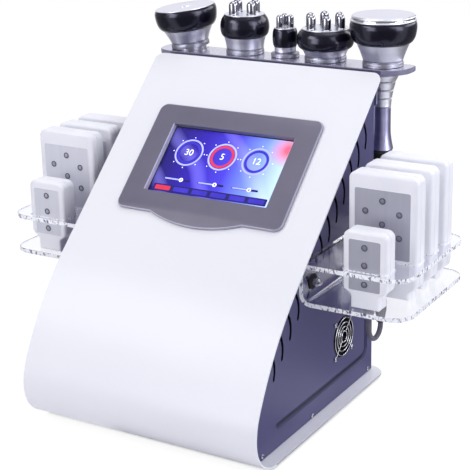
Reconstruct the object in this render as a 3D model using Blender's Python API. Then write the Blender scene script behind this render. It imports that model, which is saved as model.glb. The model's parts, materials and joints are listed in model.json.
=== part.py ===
"""Tabletop cavitation slimming machine with five handpieces and eight laser pads.

Metres, +Z up, +X to the operator's right and the sloping front towards -Y.
The origin is the centre of the bounding box on the surface the machine stands on.
"""

import math

import bmesh
import bpy
from mathutils import Matrix, Vector
from mathutils.geometry import tessellate_polygon

for old in list(bpy.data.objects):
    bpy.data.objects.remove(old, do_unlink=True)

# Fits
CLEARANCE = 0.0003
OVERRUN = 0.004

# Edges sharper than this angle stay crisp, and no mitre runs out past this share
SHARP_ANGLE = math.radians(32.0)
MITRE_SHARE = 0.5

# White front sheet, bent in one piece with the base
SHEET_WIDTH = 0.300
SHEET_GAUGE = 0.002
KNEE_ANGLE = math.radians(64.0)
TOE_RADIUS = 0.042
KNEE_RADIUS = 0.070
SWEEP_RADIUS = 0.356
SHEET_ABOVE_CASING = 0.0026
SHEET_TOP_FROM_REAR = 0.01364
BASE_BEHIND_CASING = 0.009
SHEET_CORNER_RADIUS = 0.011
BASE_CORNER_RADIUS = 0.020
TOE_STEPS = 7
KNEE_STEPS = 4
SWEEP_STEPS = 7
CORNER_STEPS = 4

# Rubber foot strips
FOOT_HEIGHT = 0.004
FOOT_WIDTH = 0.012
FOOT_LENGTH = 0.240
FOOT_INSET = 0.026
FOOT_CHAMFER = 0.0012

# Painted casing
CASING_WIDTH = 0.268
CASING_DEPTH = 0.307
CASING_HEIGHT = 0.366
CASING_WALL = 0.003
CASING_CHAMFER = 0.0010
HOUSING_FLANGE = 0.020

# Pressed groove that stiffens each side cover
GROOVE_HEIGHT = 0.028
GROOVE_FROM_REAR = 0.0175
GROOVE_FROM_FRONT = 0.060
GROOVE_TOP = 0.165
GROOVE_FADE = 0.014
GROOVE_RADIUS = 0.012
GROOVE_WIDTH = 0.0085
GROOVE_DEPTH = 0.0022
GROOVE_SIDES = 16
GROOVE_STEPS = 6

# Louvres in the side covers, each an arc that bulges to the rear
LOUVRE_PITCH = 0.0181
LOUVRE_FIRST = 0.0655
LOUVRE_FROM_REAR = 0.015
LOUVRE_FROM_TOP = 0.008
LOUVRE_DROP = 0.0775
LOUVRE_LENGTH = 0.037
LOUVRE_WIDTH = 0.0042
LOUVRE_RADIUS = 0.030
LOUVRE_BULGE_HEIGHT = 0.013
LOUVRE_STEPS = 5

# Cooling fan
FAN_SIZE = 0.050
FAN_DEPTH = 0.015
FAN_FROM_REAR = 0.0776
FAN_FROM_BASE = 0.0736
FAN_CORNER_RADIUS = 0.005
FAN_DUCT_RADIUS = 0.0230
FAN_OPENING_RADIUS = 0.0245
FAN_HUB_RADIUS = 0.0105
FAN_SEAT_RADIUS = 0.0120
FAN_SPIDER_DEPTH = 0.003
FAN_SPOKE_WIDTH = 0.004
FAN_SPOKE_BITE = 0.0012
FAN_SEGMENTS = 24
HUB_SEGMENTS = 12
FAN_BLADES = 7
FAN_BLADE_GAUGE = 0.0012
FAN_BLADE_PITCH = math.radians(38.0)
BLADE_PITCH_SHARES = (0.8, 1.0, 1.2)
BLADE_ROOT_SHARE = 0.8
BLADE_REACH_SHARE = 0.42
ROTOR_RIM_SHARE = 0.125
FAN_TIP_GAP = 0.0012
FAN_RUNNING_GAP = 0.0008
WIRE_RADIUS = 0.0008
GUARD_RING_SHARES = (0.30, 0.53, 0.76, 1.0)
GUARD_RADIUS = 0.0225
GUARD_LUG_SPACING = 0.0415
GUARD_LUG_RADIUS = 0.0026
GUARD_LIFT_SHARE = 1.5
GUARD_ARM_SHARE = 0.94
GUARD_ARM_DROP_SHARE = 0.5
GUARD_RING_SEGMENTS = (14, 17, 20, 24)
GUARD_LUG_SEGMENTS = 8
WIRE_SIDES = 5

# Display bezel and screen, measured up the sloping front
SCREEN_WIDTH = 0.1590
SCREEN_HEIGHT = 0.0912
SCREEN_FROM_TOP = 0.0990
BEZEL_WIDTH = 0.2146
BEZEL_HEIGHT = 0.1435
BEZEL_FROM_TOP = 0.0731
BEZEL_THICKNESS = 0.0035
BEZEL_CORNER_RADIUS = 0.010
BEZEL_CHAMFER = 0.0012
BEZEL_CHIN_WIDTH = 0.119
BEZEL_CHIN_DEPTH = 0.0119
CHIN_STEPS = 12
SCREEN_CORNER_RADIUS = 0.001
BEZEL_SKIRT_WALL = 0.0025
BEZEL_SKIRT_DEPTH = 0.003
GLASS_MARGIN = 0.006
GLASS_THICKNESS = 0.004
BOARD_THICKNESS = 0.0016
BOARD_MARGIN = 0.004
CHIP_HEIGHT = 0.008
CHIP_CORNER_RADIUS = 0.0014
# Centre and size of each tall component, as shares of the screen's width and height.
CHIP_SHARES = (
    (-0.30, 0.20, 0.18, 0.30),
    (0.05, 0.15, 0.22, 0.22),
    (0.33, -0.05, 0.12, 0.55),
    (-0.15, -0.28, 0.35, 0.16),
)

# Handpiece rack behind the casing
RACK_HALF_WIDTH = 0.167
RACK_DEPTH = 0.0445
RACK_THICKNESS = 0.006
RACK_ABOVE_CASING = 0.0025
RACK_FRONT_RADIUS = 0.026
RACK_REAR_RADIUS = 0.008
RACK_CHAMFER = 0.0008
RACK_FLANGE_HALF_WIDTH = 0.136
RACK_FLANGE_DROP = 0.0415
RACK_FLANGE_GAUGE = 0.003
RACK_PLAY = 0.0018
BORE_STEPS = 10

# Handpieces, left to right
HANDPIECE_STANDOFF = 0.028
ROW_OFFSET = 0.0015
HEADS = ("vacuum", "quad", "tri", "hexa", "cavitation")
HEAD_RADIUS = {"vacuum": 0.0383, "quad": 0.0295, "tri": 0.0149, "hexa": 0.0334, "cavitation": 0.0383}
HEAD_GAP = {"quad": 0.0092, "tri": 0.0106, "hexa": 0.0052, "cavitation": 0.0018}
COLLAR_RADIUS = {"vacuum": 0.0235, "quad": 0.0230, "tri": 0.0168, "hexa": 0.0245, "cavitation": 0.0235}
COLLAR_HEIGHT = 0.0045
COLLAR_GROOVE = 0.0008
NECK_WAIST_SHARE = {"vacuum": 0.975, "quad": 0.975, "tri": 0.76, "hexa": 0.975, "cavitation": 0.975}
NECK_TOP_SHARE = {"vacuum": 0.79, "quad": 0.85, "tri": 0.89, "hexa": 0.83, "cavitation": 0.79}
NECK_HEIGHT = {"vacuum": 0.0220, "quad": 0.0198, "tri": 0.0118, "hexa": 0.0137, "cavitation": 0.0255}
BAND_HEIGHT = {"vacuum": 0.0250, "quad": 0.0258, "tri": 0.0209, "hexa": 0.0223, "cavitation": 0.0250}
SPIGOT_RADIUS = {"vacuum": 0.0190, "quad": 0.0190, "tri": 0.0125, "hexa": 0.0190, "cavitation": 0.0190}
GRIP_RADIUS = {"vacuum": 0.0099, "quad": 0.0099, "tri": 0.0085, "hexa": 0.0099, "cavitation": 0.0099}
HANDLE_DROP = 0.098
GLAND_HEIGHT = 0.012
GLAND_RADIUS_SHARE = 1.22
GLAND_END_SHARE = 0.90
GLAND_BORE_SHARE = 0.40
GLAND_SHOULDER_SHARE = 0.60
GRIP_GROOVE = 0.0006
VACUUM_LEAN = math.radians(7.0)
VACUUM_LEAN_HEADING = math.radians(211.0)
HANDLE_SEGMENTS = 20
HEAD_SEGMENTS = 28
ELECTRODE_SEGMENTS = 12
DOME_STEPS = 3

# Each row is a share of the handle's drop and how far the radius stands
# between the grip and the spigot.
HANDLE_SHARES = (
    (0.065, 1.00),
    (0.107, 0.97),
    (0.179, 0.64),
    (0.281, 0.33),
    (0.383, 0.12),
    (0.490, 0.00),
    (0.796, 0.01),
    (0.898, 0.14),
    (1.000, 0.36),
)
GROOVED_SHARES = (0.281, 0.383, 0.490)

# Each row is a share of the band's height and of the head's radius.
WIDE_BARREL_SHARES = (
    (0.0, 0.80),
    (0.10, 0.885),
    (0.30, 0.955),
    (0.55, 0.99),
    (0.78, 1.0),
    (0.92, 0.985),
    (1.0, 0.955),
)
ROUND_BARREL_SHARES = ((0.0, 0.86), (0.12, 0.95), (0.36, 1.0), (0.62, 0.99), (0.84, 0.93), (1.0, 0.83))
SLIM_BARREL_SHARES = ((0.0, 0.89), (0.12, 0.96), (0.36, 1.0), (0.62, 1.0), (0.86, 0.96), (1.0, 0.88))
BARREL_SHARES = {
    "vacuum": WIDE_BARREL_SHARES,
    "quad": ROUND_BARREL_SHARES,
    "tri": SLIM_BARREL_SHARES,
    "hexa": ROUND_BARREL_SHARES,
    "cavitation": WIDE_BARREL_SHARES,
}

# Contact faces
FACE_RIM = 0.0010
FACE_CHAMFER_SHARE = 0.35
HORN_HEIGHT = 0.0062
HORN_RING_HEIGHT = 0.0022
HORN_RING_SHARE = 0.985
HORN_WAIST_SHARE = 0.945
HORN_DISC_SHARE = 0.955
HORN_RING_EDGE_SHARES = (0.25, 0.75)
HORN_LIP_SHARE = 1.4
ELECTRODE_COUNT = {"quad": 4, "tri": 3, "hexa": 6}
ELECTRODE_RADIUS = {"quad": 0.0054, "tri": 0.0038, "hexa": 0.0052}
ELECTRODE_HEIGHT = {"quad": 0.0165, "tri": 0.0160, "hexa": 0.0170}
ELECTRODE_RING_SHARE = {"quad": 0.52, "tri": 0.50, "hexa": 0.585}
ELECTRODE_TURN = {"quad": math.radians(61.5), "tri": math.radians(121.0), "hexa": math.radians(0.5)}

# Clear pad trays on both sides
TRAY_FROM_REAR = 0.017
TRAY_LENGTH = 0.167
TRAY_REACH = 0.1227
TRAY_THICKNESS = 0.005
TRAY_LOWER_TOP = 0.1538
TRAY_UPPER_TOP = 0.1962
TRAY_CORNER_RADIUS = 0.022
TRAY_BEND_RADIUS = 0.008
TRAY_INNER_CORNER = 0.003
BEND_STEPS = 4
SLOT_PLAY = 0.0010
OUTLET_PLAY = 0.003
OUTLET_SEGMENTS = 12

# Laser pads
PAD_CENTRE_FROM_CASING = 0.0725
PAD_DEPTH = 0.0230
PAD_PITCH = 0.0375
LARGE_PADS = 3
LARGE_PAD_WIDTH = 0.0790
LARGE_PAD_HEIGHT = 0.1350
SMALL_PAD_WIDTH = 0.0500
SMALL_PAD_HEIGHT = 0.0850
SMALL_PAD_FROM_TRAY = 0.0200
LARGE_PAD_FROM_TRAY = 0.0625
PAD_CORNER_RADIUS = 0.0080
PAD_EDGE_RADIUS = 0.0030
PAD_EDGE_SHARES = (0.0, 0.5, 1.0)
PAD_NECK_SHARE = {"large": 0.78, "small": 0.64}
PAD_NECK_HEIGHT = {"large": 0.0080, "small": 0.0150}
PAD_SHOULDER_HEIGHT = {"large": 0.0070, "small": 0.0060}
PAD_FRONT_SHARE = 0.47
PAD_SEAM = 0.0007
PAD_SEAM_DEPTH = 0.0011
PAD_OUTLET_RADIUS = 0.005
PAD_OUTLET_LENGTH = 0.0045
PAD_OUTLET_TAPER_SHARE = 0.8
LABEL_WIDTH_SHARE = {"large": 0.81, "small": 0.72}
LABEL_HEIGHT_SHARE = {"large": 0.550, "small": 0.655}
LABEL_TOP_SHARE = {"large": 0.123, "small": 0.105}
LABEL_CORNER_SHARE = 0.25
LABEL_RECESS = 0.0006
PAD_CORNER_STEPS = 3

# Short lead that hangs in a loop under the right tray
LEAD_DIAMETER = 0.0055
LEAD_BEVEL_RESOLUTION = 2
LEAD_POINTS = 26
LEAD_SPAN = 0.0300
LEAD_FRONT_STRAIGHT = 0.004
LEAD_REAR_STRAIGHT = 0.002
LEAD_FRONT_PULL = 0.030
LEAD_REAR_PULL = 0.017
SOCKET_RADIUS = 0.0062
FRONT_SOCKET_LENGTH = 0.009
REAR_SOCKET_LENGTH = 0.022
SOCKET_TAPER_SHARE = 0.72
SOCKET_SHOULDER_SHARE = 0.45
SOCKET_SEGMENTS = 14

# Mains inlet and rocker switch on the rear wall
INLET_WIDTH = 0.048
INLET_HEIGHT = 0.060
INLET_FLANGE = 0.0025
INLET_FLANGE_CHAMFER = 0.0008
INLET_BODY_DEPTH = 0.026
INLET_FLANGE_MARGIN = 0.004
INLET_FROM_CENTRE = 0.080
INLET_FROM_BASE = 0.060
INLET_CORNER_RADIUS = 0.003
SOCKET_OPENING_WIDTH = 0.028
SOCKET_OPENING_HEIGHT = 0.021
SOCKET_OPENING_DEPTH = 0.018
SOCKET_OPENING_CHAMFER = 0.005
SOCKET_DROP_SHARE = 0.22
ROCKER_WIDTH = 0.021
ROCKER_HEIGHT = 0.015
ROCKER_DEPTH = 0.007
ROCKER_RISE_SHARE = 0.30
ROCKER_GAP = 0.0006
ROCKER_TILT = math.radians(7.0)
ROCKER_WELL_DEPTH = 0.012
ROCKER_BACK_SHARE = 0.62
ROCKER_WAIST_SHARE = 0.92
ROCKER_LIP_SHARE = 0.96
PIN_RADIUS = 0.0015
PIN_SEGMENTS = 8
PIN_SHARES = (-0.5, 0.0, 0.5)
PIN_RISE_SHARE = 0.2
PORT_COUNT = 5
PORT_RADIUS = 0.0095
PORT_RIDGE = 0.003
PORT_BORE_SHARE = 0.62
PORT_PITCH = 0.046
PORT_FROM_BASE = 0.125
PORT_SEGMENTS = 12

# Inside the casing
SUPPLY_SIZE = (0.085, 0.150, 0.042)
SUPPLY_FROM_REAR = 0.052
SUPPLY_FROM_CENTRE = 0.055
SUPPLY_VENT_WIDTH = 0.004
SUPPLY_VENTS = 8
SUPPLY_VENT_DEPTH = 0.002
SUPPLY_VENT_LENGTH_SHARE = 0.70
SUPPLY_VENT_ROW_SHARE = 0.85
PUMP_RADIUS = 0.020
PUMP_LENGTH = 0.085
PUMP_HEAD_SIZE = 0.046
PUMP_HEAD_DEPTH = 0.030
PUMP_HEAD_CORNER_RADIUS = 0.0045
PUMP_FROM_REAR = 0.077
PUMP_FROM_CENTRE = 0.060
PUMP_CHAMFER = 0.0015
PUMP_SEGMENTS = 20
SPOUT_SHARES = (-0.25, 0.25)
SPOUT_RADIUS_SHARE = 0.08
SPOUT_HEIGHT_SHARE = 0.75

# Places worked out from the sizes above
HALF_CASING = CASING_WIDTH / 2
OVERALL_DEPTH = CASING_DEPTH + HANDPIECE_STANDOFF + HEAD_RADIUS["cavitation"]
FRONT = -OVERALL_DEPTH / 2
CASING_REAR = FRONT + CASING_DEPTH
HANDPIECE_Y = CASING_REAR + HANDPIECE_STANDOFF
BASE_BOTTOM = FOOT_HEIGHT
BASE_TOP = BASE_BOTTOM + SHEET_GAUGE
CASING_BOTTOM = BASE_TOP + CLEARANCE
CASING_TOP = BASE_BOTTOM + CASING_HEIGHT
RACK_TOP = CASING_TOP + RACK_ABOVE_CASING
BASE_LENGTH = CASING_DEPTH + BASE_BEHIND_CASING
OUTLET_OFFSET = PAD_DEPTH * (PAD_FRONT_SHARE - 0.5) + PAD_OUTLET_RADIUS + CLEARANCE

# The slope is the tangent from the sheet's top edge to the sweep, so it follows the casing's height and depth
SHEET_TURN = math.pi / 2 - KNEE_ANGLE
KNEE_CENTRE = Vector((FRONT + KNEE_RADIUS, BASE_BOTTOM + TOE_RADIUS))
KNEE_TO_SWEEP = Vector((math.cos(SHEET_TURN), -math.sin(SHEET_TURN))) * (SWEEP_RADIUS - KNEE_RADIUS)
SWEEP_CENTRE = KNEE_CENTRE + KNEE_TO_SWEEP
SLOPE_TOP = Vector((CASING_REAR - SHEET_TOP_FROM_REAR, CASING_TOP + SHEET_ABOVE_CASING))
SWEEP_TO_TOP = SLOPE_TOP - SWEEP_CENTRE
SWEEP_END = math.atan2(SWEEP_TO_TOP.y, SWEEP_TO_TOP.x) + math.acos(SWEEP_RADIUS / SWEEP_TO_TOP.length)
SLOPE_ANGLE = SWEEP_END - math.pi / 2
SLOPE_LENGTH = math.sqrt(SWEEP_TO_TOP.length_squared - SWEEP_RADIUS**2)


def material(name, colour, roughness, metallic=0.0, alpha=1.0):
    made = bpy.data.materials.new(name)
    made.use_nodes = True
    shader = made.node_tree.nodes["Principled BSDF"]
    shader.inputs["Base Color"].default_value = (*colour, 1.0)
    shader.inputs["Roughness"].default_value = roughness
    shader.inputs["Metallic"].default_value = metallic
    shader.inputs["Alpha"].default_value = alpha
    made.diffuse_color = (*colour, alpha)
    return made


WHITE_PAINT = material("white_paint", (0.86, 0.87, 0.92), 0.35)
GREY_PAINT = material("grey_paint", (0.10, 0.095, 0.17), 0.45)
BEZEL_GREY = material("bezel_grey", (0.15, 0.14, 0.19), 0.40)
SCREEN_GLASS = material("screen_glass", (0.05, 0.12, 0.45), 0.10)
BLACK_PLASTIC = material("black_plastic", (0.012, 0.012, 0.018), 0.15)
BLACK_RUBBER = material("black_rubber", (0.02, 0.02, 0.02), 0.80)
CHROME = material("chrome", (0.80, 0.80, 0.84), 0.08, 1.0)
BRUSHED = material("brushed_aluminium", (0.55, 0.55, 0.63), 0.32, 1.0)
FACE_METAL = material("face_metal", (0.78, 0.78, 0.84), 0.30, 0.6)
CLEAR_ACRYLIC = material("clear_acrylic", (0.90, 0.91, 0.95), 0.05, 0.0, 0.35)
PAD_WHITE = material("pad_white", (0.84, 0.84, 0.89), 0.40)
LEAD_GREY = material("lead_grey", (0.30, 0.29, 0.33), 0.55)
BOARD_GREEN = material("board_green", (0.02, 0.16, 0.07), 0.50)
STEEL = material("steel", (0.55, 0.56, 0.58), 0.40, 0.9)


def add_object(name, bm, surface, smooth=True):
    bmesh.ops.recalc_face_normals(bm, faces=bm.faces)
    mesh = bpy.data.meshes.new(name)
    bm.to_mesh(mesh)
    bm.free()
    mesh.materials.append(surface)
    if smooth:
        mesh.shade_smooth()
        mesh.set_sharp_from_angle(angle=SHARP_ANGLE)
    made = bpy.data.objects.new(name, mesh)
    bpy.context.scene.collection.objects.link(made)
    return made


def cut_or_join(target, helper, operation):
    helper.hide_render = True
    helper.display_type = "WIRE"
    helper.matrix_world = target.matrix_world @ helper.matrix_world
    boolean = target.modifiers.new(operation.lower() + "_" + helper.name, "BOOLEAN")
    boolean.operation = operation
    boolean.solver = "EXACT"
    boolean.object = helper


def arc(centre, radius, start, end, steps):
    for step in range(steps + 1):
        angle = start + (end - start) * step / steps
        yield Vector((centre[0] + radius * math.cos(angle), centre[1] + radius * math.sin(angle)))


def circle(centre, radius, segments):
    return list(arc(centre, radius, 0.0, math.tau, segments))[:-1]


def rounded_rectangle(width, height, radius, steps=PAD_CORNER_STEPS, centre=(0.0, 0.0)):
    points = []
    for quarter, (sx, sy) in enumerate(((1, -1), (1, 1), (-1, 1), (-1, -1))):
        middle = (centre[0] + sx * (width / 2 - radius), centre[1] + sy * (height / 2 - radius))
        start = math.radians(90.0) * (quarter - 1)
        points += arc(middle, radius, start, start + math.radians(90.0), steps)
    return points


def inset(points, distance):
    moved = []
    for index, here in enumerate(points):
        before = (here - points[index - 1]).normalized()
        after = (points[(index + 1) % len(points)] - here).normalized()
        side = Vector((-before.y, before.x))
        bisector = (side + Vector((-after.y, after.x))).normalized()
        moved.append(here + bisector * (distance / max(bisector.dot(side), MITRE_SHARE)))
    return moved


def signed_area(points):
    return sum(a.x * b.y - b.x * a.y for a, b in zip(points, points[1:] + points[:1])) / 2


def plate(name, outline, holes, levels, place, surface):
    """A flat piece: outline and holes in a plane, swept through levels of (height, inset)."""
    if signed_area(outline) < 0:
        outline = outline[::-1]
    bm = bmesh.new()
    rings = []
    for height, amount in levels:
        shape = inset(outline, amount) if amount else outline
        rings.append([bm.verts.new(place @ Vector((p.x, p.y, height))) for p in shape])
    hole_rings = []
    for hole in holes:
        ends = []
        for height in (levels[0][0], levels[-1][0]):
            ends.append([bm.verts.new(place @ Vector((p.x, p.y, height))) for p in hole])
        hole_rings.append(ends)
    for side, level in ((0, 0), (-1, 1)):
        if not holes:
            bm.faces.new(rings[side])
            continue
        loops = [rings[side]] + [ends[level] for ends in hole_rings]
        flat = [vertex for loop in loops for vertex in loop]
        local = place.inverted()
        shapes = [[(local @ vertex.co).to_2d().to_3d() for vertex in loop] for loop in loops]
        for triangle in tessellate_polygon(shapes):
            bm.faces.new([flat[i] for i in triangle])
    for lower, upper in list(zip(rings, rings[1:])) + hole_rings:
        for index in range(len(lower)):
            after = (index + 1) % len(lower)
            bm.faces.new((lower[index], lower[after], upper[after], upper[index]))
    return add_object(name, bm, surface)


def loft(name, loops, surface):
    """Joins rings of points that all have the same count, and caps both ends."""
    bm = bmesh.new()
    rings = [[bm.verts.new(point) for point in loop] for loop in loops]
    for lower, upper in zip(rings, rings[1:]):
        for index in range(len(lower)):
            after = (index + 1) % len(lower)
            bm.faces.new((lower[index], lower[after], upper[after], upper[index]))
    bm.faces.new(rings[0])
    bm.faces.new(rings[-1])
    return add_object(name, bm, surface)


def lathe(name, profile, surface, segments):
    """Turns (radius, height) points, listed from one end of the axis to the other."""
    bm = bmesh.new()
    rings = []
    for radius, height in profile:
        count = segments if radius > 0 else 1
        turn = math.tau / segments
        ring = [(radius * math.cos(turn * i), radius * math.sin(turn * i), height) for i in range(count)]
        rings.append([bm.verts.new(place) for place in ring])
    for lower, upper in zip(rings, rings[1:]):
        for index in range(segments):
            after = (index + 1) % segments
            corners = [lower[index % len(lower)], lower[after % len(lower)]]
            corners += [upper[after % len(upper)], upper[index % len(upper)]]
            bm.faces.new(list(dict.fromkeys(corners)))
    for ring in (rings[0], rings[-1]):
        if len(ring) > 1:
            bm.faces.new(ring)
    return add_object(name, bm, surface)


def box(name, size, surface):
    bm = bmesh.new()
    bmesh.ops.create_cube(bm, size=1.0, matrix=Matrix.Diagonal((*size, 1.0)))
    return add_object(name, bm, surface, smooth=False)


def frame_matrix(origin, u, v, w):
    """Maps plate coordinates (u, v, height) to the part's frame."""
    rows = [[Vector(axis)[row] for axis in (u, v, w)] + [Vector(origin)[row]] for row in range(3)]
    return Matrix(rows + [[0.0, 0.0, 0.0, 1.0]])


def side_plane(side, height=0.0):
    """Plate coordinates are (y, z), and the height runs outwards from the machine's middle."""
    return frame_matrix((side * height, 0, 0), (0, 1, 0), (0, 0, 1), (side, 0, 0))


FLAT = Matrix.Identity(4)
FACING_REAR = frame_matrix((0, 0, 0), (-1, 0, 0), (0, 0, 1), (0, 1, 0))


def sheet_curve(depth):
    """The sheet's side profile, depth below its outer face, from the base's rear to the slope's top."""
    toe = (FRONT + TOE_RADIUS, BASE_BOTTOM + TOE_RADIUS)
    bend = math.pi - SHEET_TURN
    points = [Vector((FRONT + BASE_LENGTH, BASE_BOTTOM + depth))]
    points += arc(toe, TOE_RADIUS - depth, math.radians(270.0), math.radians(180.0), TOE_STEPS)
    points += list(arc(KNEE_CENTRE, KNEE_RADIUS - depth, math.pi, bend, KNEE_STEPS))[1:]
    points += list(arc(SWEEP_CENTRE, SWEEP_RADIUS - depth, bend, SWEEP_END, SWEEP_STEPS))[1:]
    points.append(points[-1] + Vector((math.cos(SLOPE_ANGLE), math.sin(SLOPE_ANGLE))) * SLOPE_LENGTH)
    return points


UP_SLOPE = Vector((0.0, math.cos(SLOPE_ANGLE), math.sin(SLOPE_ANGLE)))
OFF_SLOPE = Vector((0.0, -math.sin(SLOPE_ANGLE), math.cos(SLOPE_ANGLE)))


def slope_plane(down, height=0.0):
    """Plate coordinates are (x, up the slope), from a point that far down from the sheet's top edge."""
    origin = Vector((0.0, SLOPE_TOP.x, SLOPE_TOP.y)) - UP_SLOPE * down + OFF_SLOPE * height
    return frame_matrix(origin, (1, 0, 0), UP_SLOPE, OFF_SLOPE)


def front_sheet():
    """One bent sheet: sloping front, curled toe and base, with rounded free corners."""
    outer, inner = sheet_curve(0.0), sheet_curve(SHEET_GAUGE)
    stations = []

    def free_end(here, after, radius, steps):
        span = (after[0] - here[0]).length
        for step in range(steps + 1):
            angle = math.radians(90.0) * step / steps
            share = radius * (1 - math.cos(angle)) / span
            half = SHEET_WIDTH / 2 - radius * (1 - math.sin(angle))
            yield [a.lerp(b, share) for a, b in zip(here, after)] + [half]

    pairs = list(zip(outer, inner))
    stations += free_end(pairs[0], pairs[1], BASE_CORNER_RADIUS, CORNER_STEPS)
    stations += [[a, b, SHEET_WIDTH / 2] for a, b in pairs[1:-1]]
    stations += list(free_end(pairs[-1], pairs[-2], SHEET_CORNER_RADIUS, CORNER_STEPS))[::-1]
    loops = []
    for top, bottom, half in stations:
        loops.append([(-half, *top), (half, *top), (half, *bottom), (-half, *bottom)])
    made = loft("front_sheet", loops, WHITE_PAINT)
    shape = rounded_rectangle(
        SCREEN_WIDTH + 2 * (BEZEL_SKIRT_WALL + CLEARANCE),
        SCREEN_HEIGHT + 2 * (BEZEL_SKIRT_WALL + CLEARANCE),
        BEZEL_SKIRT_WALL,
    )
    levels = ((-SHEET_GAUGE - OVERRUN, 0), (OVERRUN, 0))
    middle = SCREEN_FROM_TOP + SCREEN_HEIGHT / 2
    cutter = plate("screen_cutter", shape, [], levels, slope_plane(middle), WHITE_PAINT)
    cut_or_join(made, cutter, "DIFFERENCE")
    return made


def foot_strips():
    rows = {
        "foot_strip_front": FRONT + TOE_RADIUS + FOOT_INSET,
        "foot_strip_rear": FRONT + BASE_LENGTH - FOOT_INSET,
    }
    for name, y in rows.items():
        shape = rounded_rectangle(FOOT_LENGTH, FOOT_WIDTH, FOOT_WIDTH / 2, centre=(0.0, y))
        levels = ((0, FOOT_CHAMFER), (FOOT_CHAMFER, 0), (FOOT_HEIGHT - CLEARANCE, 0))
        plate(name, shape, [], levels, FLAT, BLACK_RUBBER)


CASING_CURVE = sheet_curve(SHEET_GAUGE + CLEARANCE)[1:]


def along_casing(index, value):
    """The casing's front edge where its y (index 0) or z (index 1) has the given value."""
    for a, b in zip(CASING_CURVE, CASING_CURVE[1:]):
        if a[1] <= value <= b[1] if index else a[0] <= value <= b[0] and b[0] > FRONT + KNEE_RADIUS:
            return a.lerp(b, (value - a[index]) / (b[index] - a[index]))
    raise ValueError("the casing's front edge does not reach this value")


def groove_path():
    """The groove's middle line in the side plane, from its front end to its upper end."""
    y, z = CASING_REAR - GROOVE_FROM_REAR, BASE_BOTTOM + GROOVE_HEIGHT
    start, top, radius = FRONT + GROOVE_FROM_FRONT, BASE_BOTTOM + GROOVE_TOP, GROOVE_RADIUS
    route = [Vector((start, z)), Vector((start + GROOVE_FADE, z))]
    route += arc((y - radius, z + radius), radius, -math.pi / 2, 0.0, GROOVE_STEPS)
    return route + [Vector((y, top - GROOVE_FADE)), Vector((y, top))]


def groove_cutter(side, name):
    """A bent round bar that dips into the cover and rises out of it at both ends."""
    radius = (GROOVE_WIDTH**2 / 4 + GROOVE_DEPTH**2) / (2 * GROOVE_DEPTH)
    route = groove_path()
    last = len(route) - 1
    loops = []
    for index, here in enumerate(route):
        along = (route[min(index + 1, last)] - route[max(index - 1, 0)]).normalized()
        across = Vector((-along.y, along.x))
        depth = GROOVE_DEPTH if 0 < index < last else -CLEARANCE
        ring = []
        for step in range(GROOVE_SIDES):
            turn = math.tau * step / GROOVE_SIDES
            place = here + across * radius * math.cos(turn)
            out = HALF_CASING + radius - depth + radius * math.sin(turn)
            ring.append((side * out, place.x, place.y))
        loops.append(ring)
    return loft(name, loops, GREY_PAINT)


def louvre_foot(y):
    """The height of a louvre's lower end, an even drop below the sloping front."""
    return SLOPE_TOP.y + (y - SLOPE_TOP.x) * math.tan(SLOPE_ANGLE) - LOUVRE_DROP


def louvre_rows():
    """The y of each louvre's lower end, as many as the cover has room for."""
    rise = CASING_TOP - LOUVRE_FROM_TOP - LOUVRE_LENGTH - louvre_foot(SLOPE_TOP.x)
    last = min(CASING_REAR - LOUVRE_FROM_REAR, SLOPE_TOP.x + rise / math.tan(SLOPE_ANGLE))
    first = FRONT + LOUVRE_FIRST
    count = math.floor((last - first) / LOUVRE_PITCH) + 1
    return [first + LOUVRE_PITCH * index for index in range(count)]


def louvre(y):
    """A slot along an arc, pointed at both ends like the lips of a pressed louvre."""
    start = -math.asin(LOUVRE_BULGE_HEIGHT / LOUVRE_RADIUS)
    end = math.asin((LOUVRE_LENGTH - LOUVRE_BULGE_HEIGHT) / LOUVRE_RADIUS)
    centre = (y - LOUVRE_RADIUS * math.cos(start), louvre_foot(y) + LOUVRE_BULGE_HEIGHT)
    half = LOUVRE_WIDTH / 2
    point = half / LOUVRE_RADIUS
    low, high = arc(centre, LOUVRE_RADIUS, start, end, 1)
    rear = list(arc(centre, LOUVRE_RADIUS + half, start + point, end - point, LOUVRE_STEPS))
    front = list(arc(centre, LOUVRE_RADIUS - half, start + point, end - point, LOUVRE_STEPS))
    return [low, *rear, high, *front[::-1]]


def side_cover(side, name, with_fan):
    """A flat cover cut to the sheet's bend, with louvres, a pressed groove and, if asked, a fan opening."""
    top_front = along_casing(1, CASING_TOP)
    outline = [Vector((CASING_REAR, CASING_BOTTOM)), Vector((CASING_REAR, CASING_TOP)), top_front]
    outline += [p for p in CASING_CURVE if p.y < top_front.y][::-1]
    holes = [louvre(y) for y in louvre_rows()]
    if with_fan:
        centre = (fan_axis().y, fan_axis().z)
        holes.append(circle(centre, FAN_OPENING_RADIUS, FAN_SEGMENTS))
    levels = ((0, 0), (CASING_WALL - CASING_CHAMFER, 0), (CASING_WALL, CASING_CHAMFER))
    made = plate(name, outline, holes, levels, side_plane(side, HALF_CASING - CASING_WALL), GREY_PAINT)
    cut_or_join(made, groove_cutter(side, name + "_groove"), "DIFFERENCE")


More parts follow.
